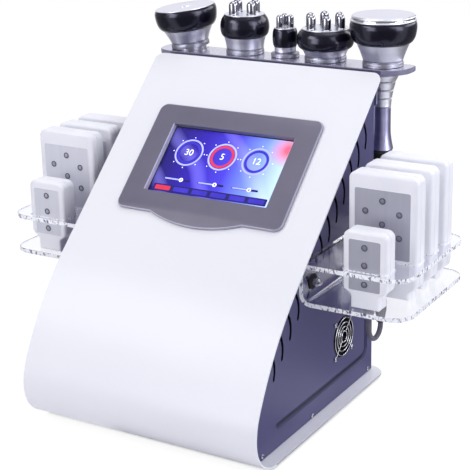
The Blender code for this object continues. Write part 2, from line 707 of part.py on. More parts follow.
def rear_housing():
    """Rear wall with a base flange and a top strip, folded as one piece between the covers."""
    half = HALF_CASING - CASING_WALL - CLEARANCE
    top_front = along_casing(1, CASING_TOP).x
    rear, wall = CASING_REAR, CASING_WALL
    section = [
        Vector((rear - HOUSING_FLANGE, CASING_BOTTOM)),
        Vector((rear, CASING_BOTTOM)),
        Vector((rear, CASING_TOP - CASING_CHAMFER)),
        Vector((rear - CASING_CHAMFER, CASING_TOP)),
        Vector((top_front, CASING_TOP)),
        Vector((top_front, CASING_TOP - wall)),
        Vector((rear - wall, CASING_TOP - wall)),
        Vector((rear - wall, CASING_BOTTOM + wall)),
        Vector((rear - HOUSING_FLANGE, CASING_BOTTOM + wall)),
    ]
    made = plate("rear_housing", section, [], ((-half, 0), (half, 0)), side_plane(1), GREY_PAINT)
    for index in range(PORT_COUNT):
        x = PORT_PITCH * (index - (PORT_COUNT - 1) / 2)
        centre = (-x, BASE_BOTTOM + PORT_FROM_BASE)
        ring = circle(centre, PORT_RADIUS, PORT_SEGMENTS)
        face = CASING_REAR + PORT_RIDGE
        levels = ((CASING_REAR - CASING_WALL / 2, 0), (face - CASING_CHAMFER, 0), (face, CASING_CHAMFER))
        boss = plate("port_boss_" + str(index + 1), ring, [], levels, FACING_REAR, GREY_PAINT)
        cut_or_join(made, boss, "UNION")
        ring = circle(centre, PORT_RADIUS * PORT_BORE_SHARE, PORT_SEGMENTS)
        levels = ((CASING_REAR - CASING_WALL - OVERRUN, 0), (CASING_REAR + PORT_RIDGE + OVERRUN, 0))
        bore = plate("port_bore_" + str(index + 1), ring, [], levels, FACING_REAR, GREY_PAINT)
        cut_or_join(made, bore, "DIFFERENCE")
    width, height = INLET_WIDTH + 2 * CLEARANCE, INLET_HEIGHT + 2 * CLEARANCE
    shape = rounded_rectangle(width, height, INLET_CORNER_RADIUS, centre=inlet_centre())
    levels = ((CASING_REAR - CASING_WALL - OVERRUN, 0), (CASING_REAR + OVERRUN, 0))
    window = plate("inlet_window", shape, [], levels, FACING_REAR, GREY_PAINT)
    cut_or_join(made, window, "DIFFERENCE")


def inlet_centre():
    """Centre of the mains inlet in the rear wall's plate coordinates."""
    return (-INLET_FROM_CENTRE, BASE_BOTTOM + INLET_FROM_BASE)


def power_inlet():
    """Snap-in inlet with its flange, a socket mouth round three pins, and a well for the rocker."""
    centre = inlet_centre()
    width = INLET_WIDTH + 2 * INLET_FLANGE_MARGIN
    height = INLET_HEIGHT + 2 * INLET_FLANGE_MARGIN
    flange = rounded_rectangle(width, height, INLET_CORNER_RADIUS, centre=centre)
    face = CASING_REAR + CLEARANCE
    outside = face + INLET_FLANGE
    levels = ((face, 0), (outside - INLET_FLANGE_CHAMFER, 0), (outside, INLET_FLANGE_CHAMFER))
    made = plate("power_inlet", flange, [], levels, FACING_REAR, BLACK_PLASTIC)
    body = rounded_rectangle(INLET_WIDTH, INLET_HEIGHT, INLET_CORNER_RADIUS, centre=centre)
    levels = ((CASING_REAR - INLET_BODY_DEPTH, 0), (face + INLET_FLANGE / 2, 0))
    cut_or_join(made, plate("inlet_body", body, [], levels, FACING_REAR, BLACK_PLASTIC), "UNION")
    half_w, half_h, c = SOCKET_OPENING_WIDTH / 2, SOCKET_OPENING_HEIGHT / 2, SOCKET_OPENING_CHAMFER
    low = centre[1] - INLET_HEIGHT * SOCKET_DROP_SHARE
    mouth = [
        Vector((centre[0] - half_w, low - half_h)),
        Vector((centre[0] + half_w, low - half_h)),
        Vector((centre[0] + half_w, low + half_h - c)),
        Vector((centre[0] + half_w - c, low + half_h)),
        Vector((centre[0] - half_w + c, low + half_h)),
        Vector((centre[0] - half_w, low + half_h - c)),
    ]
    floor = CASING_REAR - SOCKET_OPENING_DEPTH
    pins = []
    for share in PIN_SHARES:
        place = (centre[0] + share * half_w, low + half_h * PIN_RISE_SHARE * (1 if share else -1))
        pins.append(circle(place, PIN_RADIUS, PIN_SEGMENTS))
    levels = ((floor, 0), (outside + OVERRUN, 0))
    cut_or_join(made, plate("inlet_mouth", mouth, pins, levels, FACING_REAR, BLACK_PLASTIC), "DIFFERENCE")
    width, height = ROCKER_WIDTH + 2 * ROCKER_GAP, ROCKER_HEIGHT + 2 * ROCKER_GAP
    well = rounded_rectangle(width, height, ROCKER_GAP, centre=(centre[0], rocker_height()))
    levels = ((CASING_REAR - ROCKER_WELL_DEPTH, 0), (outside + OVERRUN, 0))
    cut_or_join(made, plate("rocker_well", well, [], levels, FACING_REAR, BLACK_PLASTIC), "DIFFERENCE")


def rocker_height():
    return BASE_BOTTOM + INLET_FROM_BASE + INLET_HEIGHT * ROCKER_RISE_SHARE


def power_switch():
    """A rocker with a shallow V face, stored on its off side."""
    half = ROCKER_HEIGHT / 2
    rise = half * math.tan(ROCKER_TILT)
    front = CASING_REAR + CLEARANCE + INLET_FLANGE - ROCKER_DEPTH / 2
    back, waist, lip = half * ROCKER_BACK_SHARE, half * ROCKER_WAIST_SHARE, half * ROCKER_LIP_SHARE
    face = ROCKER_DEPTH / 2
    shape = [
        Vector((-ROCKER_DEPTH, -back)),
        Vector((-ROCKER_DEPTH, back)),
        Vector((0.0, waist)),
        Vector((face + rise, lip)),
        Vector((face - rise / 2, 0.0)),
        Vector((face + rise, -lip)),
        Vector((0.0, -waist)),
    ]
    width = ROCKER_WIDTH / 2
    made = plate("power_switch", shape, [], ((-width, 0), (width, 0)), side_plane(1), BLACK_PLASTIC)
    made.location = (INLET_FROM_CENTRE, front, rocker_height())
    made.rotation_euler.x = ROCKER_TILT


def chin_outline(width, height):
    """A rounded rectangle whose lower edge carries a shallow smile."""
    r = BEZEL_CORNER_RADIUS
    points = []
    for quarter, (sx, sy) in enumerate(((1, -1), (1, 1), (-1, 1), (-1, -1))):
        start = math.radians(90.0) * (quarter - 1)
        middle = (sx * (width / 2 - r), sy * (height / 2 - r))
        points += arc(middle, r, start, start + math.radians(90.0), PAD_CORNER_STEPS)
    for step in range(CHIN_STEPS + 1):
        share = 2 * step / CHIN_STEPS - 1
        drop = BEZEL_CHIN_DEPTH * (1 - share * share)
        points.append(Vector((share * BEZEL_CHIN_WIDTH / 2, -height / 2 - drop)))
    return points


def display():
    top = BEZEL_FROM_TOP + BEZEL_HEIGHT / 2
    lift = top - (SCREEN_FROM_TOP + SCREEN_HEIGHT / 2)
    opening = rounded_rectangle(SCREEN_WIDTH, SCREEN_HEIGHT, SCREEN_CORNER_RADIUS, 1, (0.0, lift))
    levels = ((CLEARANCE, 0), (BEZEL_THICKNESS - BEZEL_CHAMFER, 0), (BEZEL_THICKNESS, BEZEL_CHAMFER))
    outline = chin_outline(BEZEL_WIDTH, BEZEL_HEIGHT)
    bezel = plate("display_bezel", outline, [], levels, slope_plane(top), BEZEL_GREY)
    width, height = SCREEN_WIDTH + 2 * BEZEL_SKIRT_WALL, SCREEN_HEIGHT + 2 * BEZEL_SKIRT_WALL
    rim = rounded_rectangle(width, height, BEZEL_SKIRT_WALL, centre=(0.0, lift))
    levels = ((-BEZEL_SKIRT_DEPTH, 0), (BEZEL_THICKNESS / 2, 0))
    cut_or_join(bezel, plate("bezel_skirt", rim, [], levels, slope_plane(top), BEZEL_GREY), "UNION")
    levels = ((-BEZEL_SKIRT_DEPTH - OVERRUN, 0), (BEZEL_THICKNESS + OVERRUN, 0))
    cut_or_join(bezel, plate("bezel_window", opening, [], levels, slope_plane(top), BEZEL_GREY), "DIFFERENCE")
    middle = SCREEN_FROM_TOP + SCREEN_HEIGHT / 2
    width, height = SCREEN_WIDTH + 2 * GLASS_MARGIN, SCREEN_HEIGHT + 2 * GLASS_MARGIN
    glass = rounded_rectangle(width, height, BEZEL_SKIRT_WALL)
    front = -BEZEL_SKIRT_DEPTH - CLEARANCE
    levels = ((front - GLASS_THICKNESS, 0), (front, 0))
    plate("touch_screen", glass, [], levels, slope_plane(middle), SCREEN_GLASS)
    back = front - GLASS_THICKNESS - CLEARANCE
    width, height = SCREEN_WIDTH + 2 * BOARD_MARGIN, SCREEN_HEIGHT + 2 * BOARD_MARGIN
    board = rounded_rectangle(width, height, BEZEL_SKIRT_WALL)
    levels = ((back - BOARD_THICKNESS, 0), (back, 0))
    made = plate("main_board", board, [], levels, slope_plane(middle), BOARD_GREEN)
    for index, (u, v, w, h) in enumerate(CHIP_SHARES):
        centre = (u * SCREEN_WIDTH, v * SCREEN_HEIGHT)
        chip = rounded_rectangle(w * SCREEN_WIDTH, h * SCREEN_HEIGHT, CHIP_CORNER_RADIUS, 1, centre)
        levels = ((back - BOARD_THICKNESS - CHIP_HEIGHT, 0), (back - BOARD_THICKNESS / 2, 0))
        block = plate("chip_" + str(index + 1), chip, [], levels, slope_plane(middle), BOARD_GREEN)
        cut_or_join(made, block, "UNION")


def handpiece_places():
    """The x of each handpiece axis, from head radii and the gaps between heads."""
    places = {HEADS[0]: 0.0}
    for before, name in zip(HEADS, HEADS[1:]):
        places[name] = places[before] + HEAD_RADIUS[before] + HEAD_GAP[name] + HEAD_RADIUS[name]
    middle = (places[HEADS[0]] + places[HEADS[-1]]) / 2 - ROW_OFFSET
    return {name: x - middle for name, x in places.items()}


PLACES = handpiece_places()


def bore_radius(name):
    return SPIGOT_RADIUS[name] + RACK_PLAY


def handpiece_rack():
    """A shelf with five seats open to the rear, on a flange against the rear wall."""
    front = CASING_REAR + CLEARANCE
    rear = front + RACK_DEPTH
    half, r, q = RACK_HALF_WIDTH, RACK_FRONT_RADIUS, RACK_REAR_RADIUS
    outline = list(arc((half - r, front + r), r, -math.pi / 2, 0.0, BORE_STEPS // 2))
    outline += arc((half - q, rear - q), q, 0.0, math.pi / 2, CORNER_STEPS)
    for name in HEADS[::-1]:
        bore = bore_radius(name)
        reach = rear - HANDPIECE_Y
        mouth = GRIP_RADIUS[name] + RACK_PLAY
        if math.hypot(mouth, reach) < bore:
            mouth = math.sqrt(bore * bore - reach * reach)
        else:
            outline.append(Vector((PLACES[name] + mouth, rear)))
        start = math.acos(mouth / bore)
        outline += arc((PLACES[name], HANDPIECE_Y), bore, start, -math.pi - start, BORE_STEPS)
        if math.hypot(mouth, reach) > bore:
            outline.append(Vector((PLACES[name] - mouth, rear)))
    outline += arc((-half + q, rear - q), q, math.pi / 2, math.pi, CORNER_STEPS)
    outline += arc((-half + r, front + r), r, math.pi, 1.5 * math.pi, BORE_STEPS // 2)
    base = RACK_TOP - RACK_THICKNESS
    c = RACK_CHAMFER
    levels = ((base, c), (base + c, 0), (RACK_TOP - c, 0), (RACK_TOP, c))
    made = plate("handpiece_rack", outline, [], levels, FLAT, GREY_PAINT)
    low = RACK_TOP - RACK_FLANGE_DROP
    high = RACK_TOP - RACK_THICKNESS / 2
    centre = (0.0, (high + low) / 2)
    flange = rounded_rectangle(2 * RACK_FLANGE_HALF_WIDTH, high - low, RACK_THICKNESS / 2, centre=centre)
    levels = ((front, 0), (front + RACK_FLANGE_GAUGE, 0))
    cut_or_join(made, plate("rack_flange", flange, [], levels, FACING_REAR, GREY_PAINT), "UNION")


def fan_axis():
    return Vector((0.0, CASING_REAR - FAN_FROM_REAR, BASE_BOTTOM + FAN_FROM_BASE))


def fan_frame():
    """Square frame with a round duct, and the motor's seat on four spokes at its back."""
    axis = fan_axis()
    outer = HALF_CASING - CASING_WALL - CLEARANCE
    centre = (axis.y, axis.z)
    shape = rounded_rectangle(FAN_SIZE, FAN_SIZE, FAN_CORNER_RADIUS, centre=centre)
    duct = circle(centre, FAN_DUCT_RADIUS, FAN_SEGMENTS)
    levels = ((-FAN_DEPTH, 0), (0, 0))
    made = plate("fan_frame", shape, [duct], levels, side_plane(1, outer), BLACK_PLASTIC)
    seat = circle(centre, FAN_SEAT_RADIUS, HUB_SEGMENTS)
    levels = ((-FAN_DEPTH, 0), (-FAN_DEPTH + FAN_SPIDER_DEPTH, 0))
    cut_or_join(made, plate("motor_seat", seat, [], levels, side_plane(1, outer), BLACK_PLASTIC), "UNION")
    for index in range(2):
        turn = math.radians(90.0) * index + math.radians(45.0)
        reach = FAN_DUCT_RADIUS + FAN_SPOKE_BITE
        along = Vector((math.cos(turn), math.sin(turn))) * reach
        across = Vector((-math.sin(turn), math.cos(turn))) * FAN_SPOKE_WIDTH / 2
        corners = (-along - across, along - across, along + across, -along + across)
        spoke = [Vector(centre) + corner for corner in corners]
        levels = ((-FAN_DEPTH + CLEARANCE, 0), (-FAN_DEPTH + FAN_SPIDER_DEPTH - CLEARANCE, 0))
        title = "spoke_pair_" + str(index + 1)
        helper = plate(title, spoke, [], levels, side_plane(1, outer), BLACK_PLASTIC)
        cut_or_join(made, helper, "UNION")


def fan_rotor():
    """Hub with pitched blades, turning about X just inside the guard."""
    depth = FAN_DEPTH - FAN_SPIDER_DEPTH - 2 * FAN_RUNNING_GAP
    rim = depth * ROTOR_RIM_SHARE
    hub = FAN_HUB_RADIUS
    profile = [(0.0, 0.0), (hub, 0.0), (hub, depth - rim), (hub - rim, depth), (0.0, depth)]
    made = lathe("fan_rotor", profile, BLACK_PLASTIC, HUB_SEGMENTS)
    back = HALF_CASING - CASING_WALL - CLEARANCE - FAN_DEPTH
    made.location = fan_axis() + Vector((back + FAN_SPIDER_DEPTH + FAN_RUNNING_GAP, 0, 0))
    made.rotation_euler.y = math.pi / 2
    bpy.context.view_layer.update()
    tip = FAN_DUCT_RADIUS - FAN_TIP_GAP
    root = FAN_HUB_RADIUS * BLADE_ROOT_SHARE
    half = depth * BLADE_REACH_SHARE
    for index in range(FAN_BLADES):
        turn = Matrix.Rotation(math.tau * index / FAN_BLADES, 4, "Z")
        loops = []
        for radius, share in zip((root, (root + tip) / 2, tip), BLADE_PITCH_SHARES):
            sweep = half * math.tan(FAN_BLADE_PITCH * share)
            thick = FAN_BLADE_GAUGE / 2
            ring = []
            for sz, sy in ((-1, -1), (1, -1), (1, 1), (-1, 1)):
                ring.append(turn @ Vector((radius, sz * sweep + sy * thick, depth / 2 + sz * half)))
            loops.append(ring)
        blade = loft("blade_" + str(index + 1), loops, BLACK_PLASTIC)
        cut_or_join(made, blade, "UNION")


def torus(name, centre, radius, segments, surface):
    """A wire ring in the side plane, standing on the side cover."""
    bm = bmesh.new()
    rings = []
    for i in range(segments):
        around = math.tau * i / segments
        ring = []
        for j in range(WIRE_SIDES):
            tube = math.tau * j / WIRE_SIDES
            out = radius + WIRE_RADIUS * math.cos(tube)
            ring.append(bm.verts.new((
                WIRE_RADIUS * math.sin(tube),
                centre[0] + out * math.cos(around),
                centre[1] + out * math.sin(around),
            )))
        rings.append(ring)
    for i in range(segments):
        for j in range(WIRE_SIDES):
            a, b = rings[i], rings[(i + 1) % segments]
            k = (j + 1) % WIRE_SIDES
            bm.faces.new((a[j], b[j], b[k], a[k]))
    return add_object(name, bm, surface)


def fan_guard():
    """Welded wire rings on crossed arms that end in screw eyes."""
    rings = [GUARD_RADIUS * share for share in GUARD_RING_SHARES]
    made = torus("fan_guard", (0.0, 0.0), rings[-1], GUARD_RING_SEGMENTS[-1], CHROME)
    made.location = fan_axis() + Vector((HALF_CASING + CLEARANCE + WIRE_RADIUS * GUARD_LIFT_SHARE, 0, 0))
    bpy.context.view_layer.update()
    for index, (radius, segments) in enumerate(zip(rings[:-1], GUARD_RING_SEGMENTS)):
        ring = torus("guard_ring_" + str(index + 1), (0.0, 0.0), radius, segments, CHROME)
        cut_or_join(made, ring, "UNION")
    eye = GUARD_LUG_SPACING / 2
    for index in range(4):
        turn = math.radians(45.0 + 90.0 * index)
        corner = (eye * (1 if math.cos(turn) > 0 else -1), eye * (1 if math.sin(turn) > 0 else -1))
        lug = torus("guard_eye_" + str(index + 1), corner, GUARD_LUG_RADIUS, GUARD_LUG_SEGMENTS, CHROME)
        cut_or_join(made, lug, "UNION")
        reach = math.hypot(*corner) - GUARD_LUG_RADIUS
        start = rings[0] - WIRE_RADIUS
        loops = []
        for distance in (start, reach):
            ring = []
            for j in range(WIRE_SIDES):
                tube = math.tau * (j + 0.5) / WIRE_SIDES
                side = WIRE_RADIUS * GUARD_ARM_SHARE * math.cos(tube)
                height = WIRE_RADIUS * (GUARD_ARM_SHARE * math.sin(tube) - GUARD_ARM_DROP_SHARE)
                ring.append((
                    height,
                    distance * math.cos(turn) - side * math.sin(turn),
                    distance * math.sin(turn) + side * math.cos(turn),
                ))
            loops.append(ring)
        cut_or_join(made, loft("guard_arm_" + str(index + 1), loops, CHROME), "UNION")


def handle_profile(name):
    """Radius and height of the turned metal handle, from its lower end up to the band."""
    grip, spigot = GRIP_RADIUS[name], SPIGOT_RADIUS[name]
    points = [(0.0, -HANDLE_DROP)]
    for down, share in HANDLE_SHARES[::-1]:
        radius = grip + (spigot - grip) * share
        if down in GROOVED_SHARES:
            points.append((radius, -down * HANDLE_DROP - GRIP_GROOVE))
            points.append((radius - GRIP_GROOVE, -down * HANDLE_DROP))
            points.append((radius, -down * HANDLE_DROP + GRIP_GROOVE))
        else:
            points.append((radius, -down * HANDLE_DROP))
    collar = COLLAR_RADIUS[name]
    waist = collar * NECK_WAIST_SHARE[name]
    points += [(spigot, 0.0), (collar, 0.0), (collar, COLLAR_HEIGHT)]
    points.append((waist - COLLAR_GROOVE, COLLAR_HEIGHT + COLLAR_GROOVE))
    points.append((waist, COLLAR_HEIGHT + 2 * COLLAR_GROOVE))
    points += [(HEAD_RADIUS[name] * NECK_TOP_SHARE[name], NECK_HEIGHT[name]), (0.0, NECK_HEIGHT[name])]
    return points


def band_profile(name):
    low = NECK_HEIGHT[name] + CLEARANCE
    shares = BARREL_SHARES[name]
    points = [(0.0, low)]
    points += [(HEAD_RADIUS[name] * out, low + BAND_HEIGHT[name] * up) for up, out in shares]
    return points + [(0.0, low + BAND_HEIGHT[name])]


def face_height(name):
    return NECK_HEIGHT[name] + BAND_HEIGHT[name] + 2 * CLEARANCE


def contact_face(name):
    """The treatment face: a flat plate, a horn disc in its ring, or domed electrodes on a plate."""
    low = face_height(name)
    title = name + "_face"
    rim = HEAD_RADIUS[name] * BARREL_SHARES[name][-1][1]
    if name == "cavitation":
        disc = HEAD_RADIUS[name] * HORN_DISC_SHARE
        waist = HEAD_RADIUS[name] * HORN_WAIST_SHARE
        ring = HEAD_RADIUS[name] * HORN_RING_SHARE
        step = HORN_RING_HEIGHT
        lower, upper = (low + step * share for share in HORN_RING_EDGE_SHARES)
        top = low + HORN_HEIGHT
        return lathe(title, [
            (0.0, low),
            (rim, low),
            (ring, lower),
            (ring, upper),
            (waist, low + step),
            (waist, top - FACE_RIM * HORN_LIP_SHARE),
            (disc, top - FACE_RIM),
            (disc - FACE_RIM / 2, top),
            (0.0, top),
        ], CHROME, HEAD_SEGMENTS)
    chamfer = FACE_RIM * FACE_CHAMFER_SHARE
    top = low + FACE_RIM
    profile = [(0.0, low), (rim, low), (rim, top - chamfer), (rim - chamfer, top), (0.0, top)]
    made = lathe(title, profile, FACE_METAL, HEAD_SEGMENTS)
    for index in range(ELECTRODE_COUNT.get(name, 0)):
        radius = ELECTRODE_RADIUS[name]
        straight = ELECTRODE_HEIGHT[name] - radius
        profile = [(0.0, 0.0), (radius, 0.0)]
        for step in range(DOME_STEPS):
            angle = math.radians(90.0) * step / DOME_STEPS
            profile.append((radius * math.cos(angle), straight + radius * math.sin(angle)))
        profile.append((0.0, straight + radius))
        dome = lathe(title + "_dome_" + str(index + 1), profile, CHROME, ELECTRODE_SEGMENTS)
        turn = ELECTRODE_TURN[name] + math.tau * index / ELECTRODE_COUNT[name]
        out = HEAD_RADIUS[name] * ELECTRODE_RING_SHARE[name]
        place = (out * math.cos(turn), out * math.sin(turn), low + FACE_RIM / 2)
        dome.matrix_world = Matrix.Translation(place)
        cut_or_join(made, dome, "UNION")
    return made


def handpiece(name):
    """Turned handle, black band, contact face and cable gland, carried by an empty on the lift axis."""
    carrier = bpy.data.objects.new(name + "_lift", None)
    bpy.context.scene.collection.objects.link(carrier)
    height = RACK_TOP + CLEARANCE
    carrier.location = (PLACES[name], HANDPIECE_Y, height)
    if name == "vacuum":
        carrier.location.z += COLLAR_RADIUS[name] * math.sin(VACUUM_LEAN)
        heading = (-math.sin(VACUUM_LEAN_HEADING), math.cos(VACUUM_LEAN_HEADING), 0.0)
        carrier.rotation_mode = "QUATERNION"
        carrier.rotation_quaternion = Matrix.Rotation(VACUUM_LEAN, 3, heading).to_quaternion()
    handle = lathe(name + "_handle", handle_profile(name), BRUSHED, HANDLE_SEGMENTS)
    band = lathe(name + "_band", band_profile(name), BLACK_PLASTIC, HEAD_SEGMENTS)
    face = contact_face(name)
    gland_radius = GRIP_RADIUS[name] * GLAND_RADIUS_SHARE
    top = -HANDLE_DROP - CLEARANCE
    foot = top - GLAND_HEIGHT
    hollow = gland_radius * GLAND_BORE_SHARE
    straight = GLAND_HEIGHT * GLAND_SHOULDER_SHARE
    gland = lathe(name + "_gland", [
        (0.0, top),
        (gland_radius, top),
        (gland_radius, top - straight),
        (gland_radius * GLAND_END_SHARE, foot),
        (hollow, foot),
        (hollow, foot + straight),
        (0.0, foot + straight),
    ], BLACK_RUBBER, SOCKET_SEGMENTS)
    helpers = [modifier.object for modifier in face.modifiers]
    for piece in (handle, band, face, gland, *helpers):
        piece.parent = carrier


def tray_reach(side):
    """Inner and outer x of a tray on the given side."""
    inner = HALF_CASING + CLEARANCE
    return side * inner, side * (inner + TRAY_REACH)


def tray_front():
    return CASING_REAR - TRAY_FROM_REAR - TRAY_LENGTH


def pad_rows():
    """Each pad of a tray: its name, kind and the y of its middle."""
    front = tray_front()
    rows = [("small_pad", "small", front + SMALL_PAD_FROM_TRAY)]
    for index in range(LARGE_PADS):
        y = front + LARGE_PAD_FROM_TRAY + PAD_PITCH * index
        rows.append(("large_pad_" + str(index + 1), "large", y))
    return rows


def pad_x(side):
    return side * (HALF_CASING + PAD_CENTRE_FROM_CASING)


def tray(side, word):
    """Bent lower shelf with its wall, and the slotted upper shelf that stands on the wall."""
    near, far = tray_reach(side)
    y0, y1 = tray_front(), tray_front() + TRAY_LENGTH
    t, r = TRAY_THICKNESS, TRAY_BEND_RADIUS
    low, high = BASE_BOTTOM + TRAY_LOWER_TOP - t, BASE_BOTTOM + TRAY_UPPER_TOP - t - CLEARANCE
    inner, reach = abs(near), abs(far)
    bend = (inner + r + t, low + r + t)
    section = [Vector((inner, high)), *arc(bend, r + t, math.pi, 1.5 * math.pi, BEND_STEPS)]
    section += [Vector((reach, low)), Vector((reach, low + t))]
    section += [*arc(bend, r, 1.5 * math.pi, math.pi, BEND_STEPS), Vector((inner + t, high))]
    place = frame_matrix((0, 0, 0), (side, 0, 0), (0, 0, 1), (0, 1, 0))
    lower = plate("tray_" + word + "_lower", section, [], ((y0, 0), (y1, 0)), place, CLEAR_ACRYLIC)
    for index, (y, sign) in enumerate(((y0, 1), (y1, -1))):
        radius = TRAY_CORNER_RADIUS
        centre = (reach - radius, y + sign * radius)
        start = -sign * math.pi / 2
        nib = list(arc(centre, radius, start, 0.0, CORNER_STEPS + 2))
        nib += [Vector((reach + OVERRUN, centre[1])), Vector((reach + OVERRUN, y - sign * OVERRUN))]
        nib.append(Vector((centre[0], y - sign * OVERRUN)))
        flip = frame_matrix((0, 0, 0), (side, 0, 0), (0, 1, 0), (0, 0, 1))
        levels = ((low - OVERRUN, 0), (low + t + OVERRUN / 2, 0))
        cutter = plate("tray_" + word + "_corner_" + str(index + 1), nib, [], levels, flip, CLEAR_ACRYLIC)
        cut_or_join(lower, cutter, "DIFFERENCE")
    for name, kind, y in pad_rows():
        hole = circle((pad_x(side), y + OUTLET_OFFSET), PAD_OUTLET_RADIUS + OUTLET_PLAY, OUTLET_SEGMENTS)
        levels = ((low - OVERRUN, 0), (low + t + OVERRUN, 0))
        cutter = plate(word + "_" + name + "_outlet_hole", hole, [], levels, FLAT, CLEAR_ACRYLIC)
        cut_or_join(lower, cutter, "DIFFERENCE")
    outline = []
    big, small = TRAY_CORNER_RADIUS, TRAY_INNER_CORNER
    outline += arc((reach - big, y0 + big), big, -math.pi / 2, 0.0, CORNER_STEPS + 2)
    outline += arc((reach - big, y1 - big), big, 0.0, math.pi / 2, CORNER_STEPS + 2)
    outline += arc((inner + small, y1 - small), small, math.pi / 2, math.pi, 2)
    outline += arc((inner + small, y0 + small), small, math.pi, 1.5 * math.pi, 2)
    slots = []
    for name, kind, y in pad_rows():
        width = (SMALL_PAD_WIDTH if kind == "small" else LARGE_PAD_WIDTH) + 2 * SLOT_PLAY
        depth = PAD_DEPTH + 2 * SLOT_PLAY
        slots.append(rounded_rectangle(width, depth, PAD_EDGE_RADIUS, 2, (abs(pad_x(side)), y)))
    place = frame_matrix((0, 0, 0), (side, 0, 0), (0, 1, 0), (0, 0, 1))
    top = BASE_BOTTOM + TRAY_UPPER_TOP
    plate("tray_" + word + "_upper", outline, slots, ((top - t, 0), (top, 0)), place, CLEAR_ACRYLIC)


def pad_outline(kind, amount=0.0):
    """A pad seen from the front, shoulders and neck included, with its foot at z = 0."""
    width = (SMALL_PAD_WIDTH if kind == "small" else LARGE_PAD_WIDTH) / 2 - amount
    top = (SMALL_PAD_HEIGHT if kind == "small" else LARGE_PAD_HEIGHT) - amount
    neck = (SMALL_PAD_WIDTH if kind == "small" else LARGE_PAD_WIDTH) / 2 * PAD_NECK_SHARE[kind] - amount
    lower = PAD_NECK_HEIGHT[kind]
    shoulder = lower + PAD_SHOULDER_HEIGHT[kind]
    r = PAD_CORNER_RADIUS - amount / 2
    right = [Vector((neck, amount)), Vector((neck, lower)), Vector((width, shoulder))]
    right += arc((width - r, top - r), r, 0.0, math.pi / 2, PAD_CORNER_STEPS)
    return right + [Vector((-p.x, p.y)) for p in right[::-1]]


def label_outline(kind):
    """The shallow label recess, with one point for each point of the pad's outline."""
    width = (SMALL_PAD_WIDTH if kind == "small" else LARGE_PAD_WIDTH) * LABEL_WIDTH_SHARE[kind] / 2
    full = SMALL_PAD_HEIGHT if kind == "small" else LARGE_PAD_HEIGHT
    top = full * (1 - LABEL_TOP_SHARE[kind])
    low = top - full * LABEL_HEIGHT_SHARE[kind]
    r = PAD_CORNER_RADIUS * LABEL_CORNER_SHARE
    right = [Vector((width - r, low)), Vector((width, low + r)), Vector((width, (low + top) / 2))]
    right += arc((width - r, top - r), r, 0.0, math.pi / 2, PAD_CORNER_STEPS)
    return right + [Vector((-p.x, p.y)) for p in right[::-1]]


def laser_pad(side, word, name, kind, y):
    """Two moulded shells that meet at a seam, carried by an empty on the lift axis."""
    title = word + "_" + name
    carrier = bpy.data.objects.new(title + "_lift", None)
    bpy.context.scene.collection.objects.link(carrier)
    carrier.location = (pad_x(side), y, BASE_BOTTOM + TRAY_LOWER_TOP + CLEARANCE)
    front = -PAD_DEPTH / 2
    seam = front + PAD_DEPTH * PAD_FRONT_SHARE
    edge = PAD_EDGE_RADIUS

    def ring(shape, depth):
        return [(p.x, depth, p.y) for p in shape]

    label = label_outline(kind)
    loops = [ring(label, front + LABEL_RECESS), ring(label, front)]
    for share in PAD_EDGE_SHARES:
        angle = math.radians(90.0) * share
        shape = pad_outline(kind, edge * (1 - math.sin(angle)))
        loops.append(ring(shape, front + edge * (1 - math.cos(angle))))
    loops.append(ring(pad_outline(kind), seam - PAD_SEAM))
    loops.append(ring(pad_outline(kind, PAD_SEAM_DEPTH), seam - PAD_SEAM))
    loops.append(ring(pad_outline(kind, PAD_SEAM_DEPTH), seam - CLEARANCE))
    shell = loft(title + "_front", loops, PAD_WHITE)
    rear = PAD_DEPTH / 2
    loops = [ring(pad_outline(kind), seam)]
    for share in PAD_EDGE_SHARES[::-1]:
        angle = math.radians(90.0) * share
        shape = pad_outline(kind, edge * (1 - math.sin(angle)))
        loops.append(ring(shape, rear - edge * (1 - math.cos(angle))))
    back = loft(title + "_rear", loops, PAD_WHITE)
    outlet = lathe(title + "_outlet", [
        (0.0, -PAD_OUTLET_LENGTH),
        (PAD_OUTLET_RADIUS * PAD_OUTLET_TAPER_SHARE, -PAD_OUTLET_LENGTH),
        (PAD_OUTLET_RADIUS, 0.0),
        (PAD_OUTLET_RADIUS, PAD_OUTLET_LENGTH),
        (0.0, PAD_OUTLET_LENGTH),
    ], PAD_WHITE, OUTLET_SEGMENTS)
    outlet.matrix_world = Matrix.Translation((0.0, OUTLET_OFFSET, 0.0))
    cut_or_join(back, outlet, "UNION")
    for piece in (shell, back, outlet):
        piece.parent = carrier


def lead_ends():
    """Where the lead leaves its front socket and enters its rear one."""
    x = pad_x(1)
    under = BASE_BOTTOM + TRAY_LOWER_TOP - TRAY_THICKNESS - CLEARANCE
    y = pad_rows()[0][2]
    front = Vector((x, y, under - FRONT_SOCKET_LENGTH - CLEARANCE))
    rear = Vector((x, y + LEAD_SPAN, under - REAR_SOCKET_LENGTH - CLEARANCE))
    return front, rear


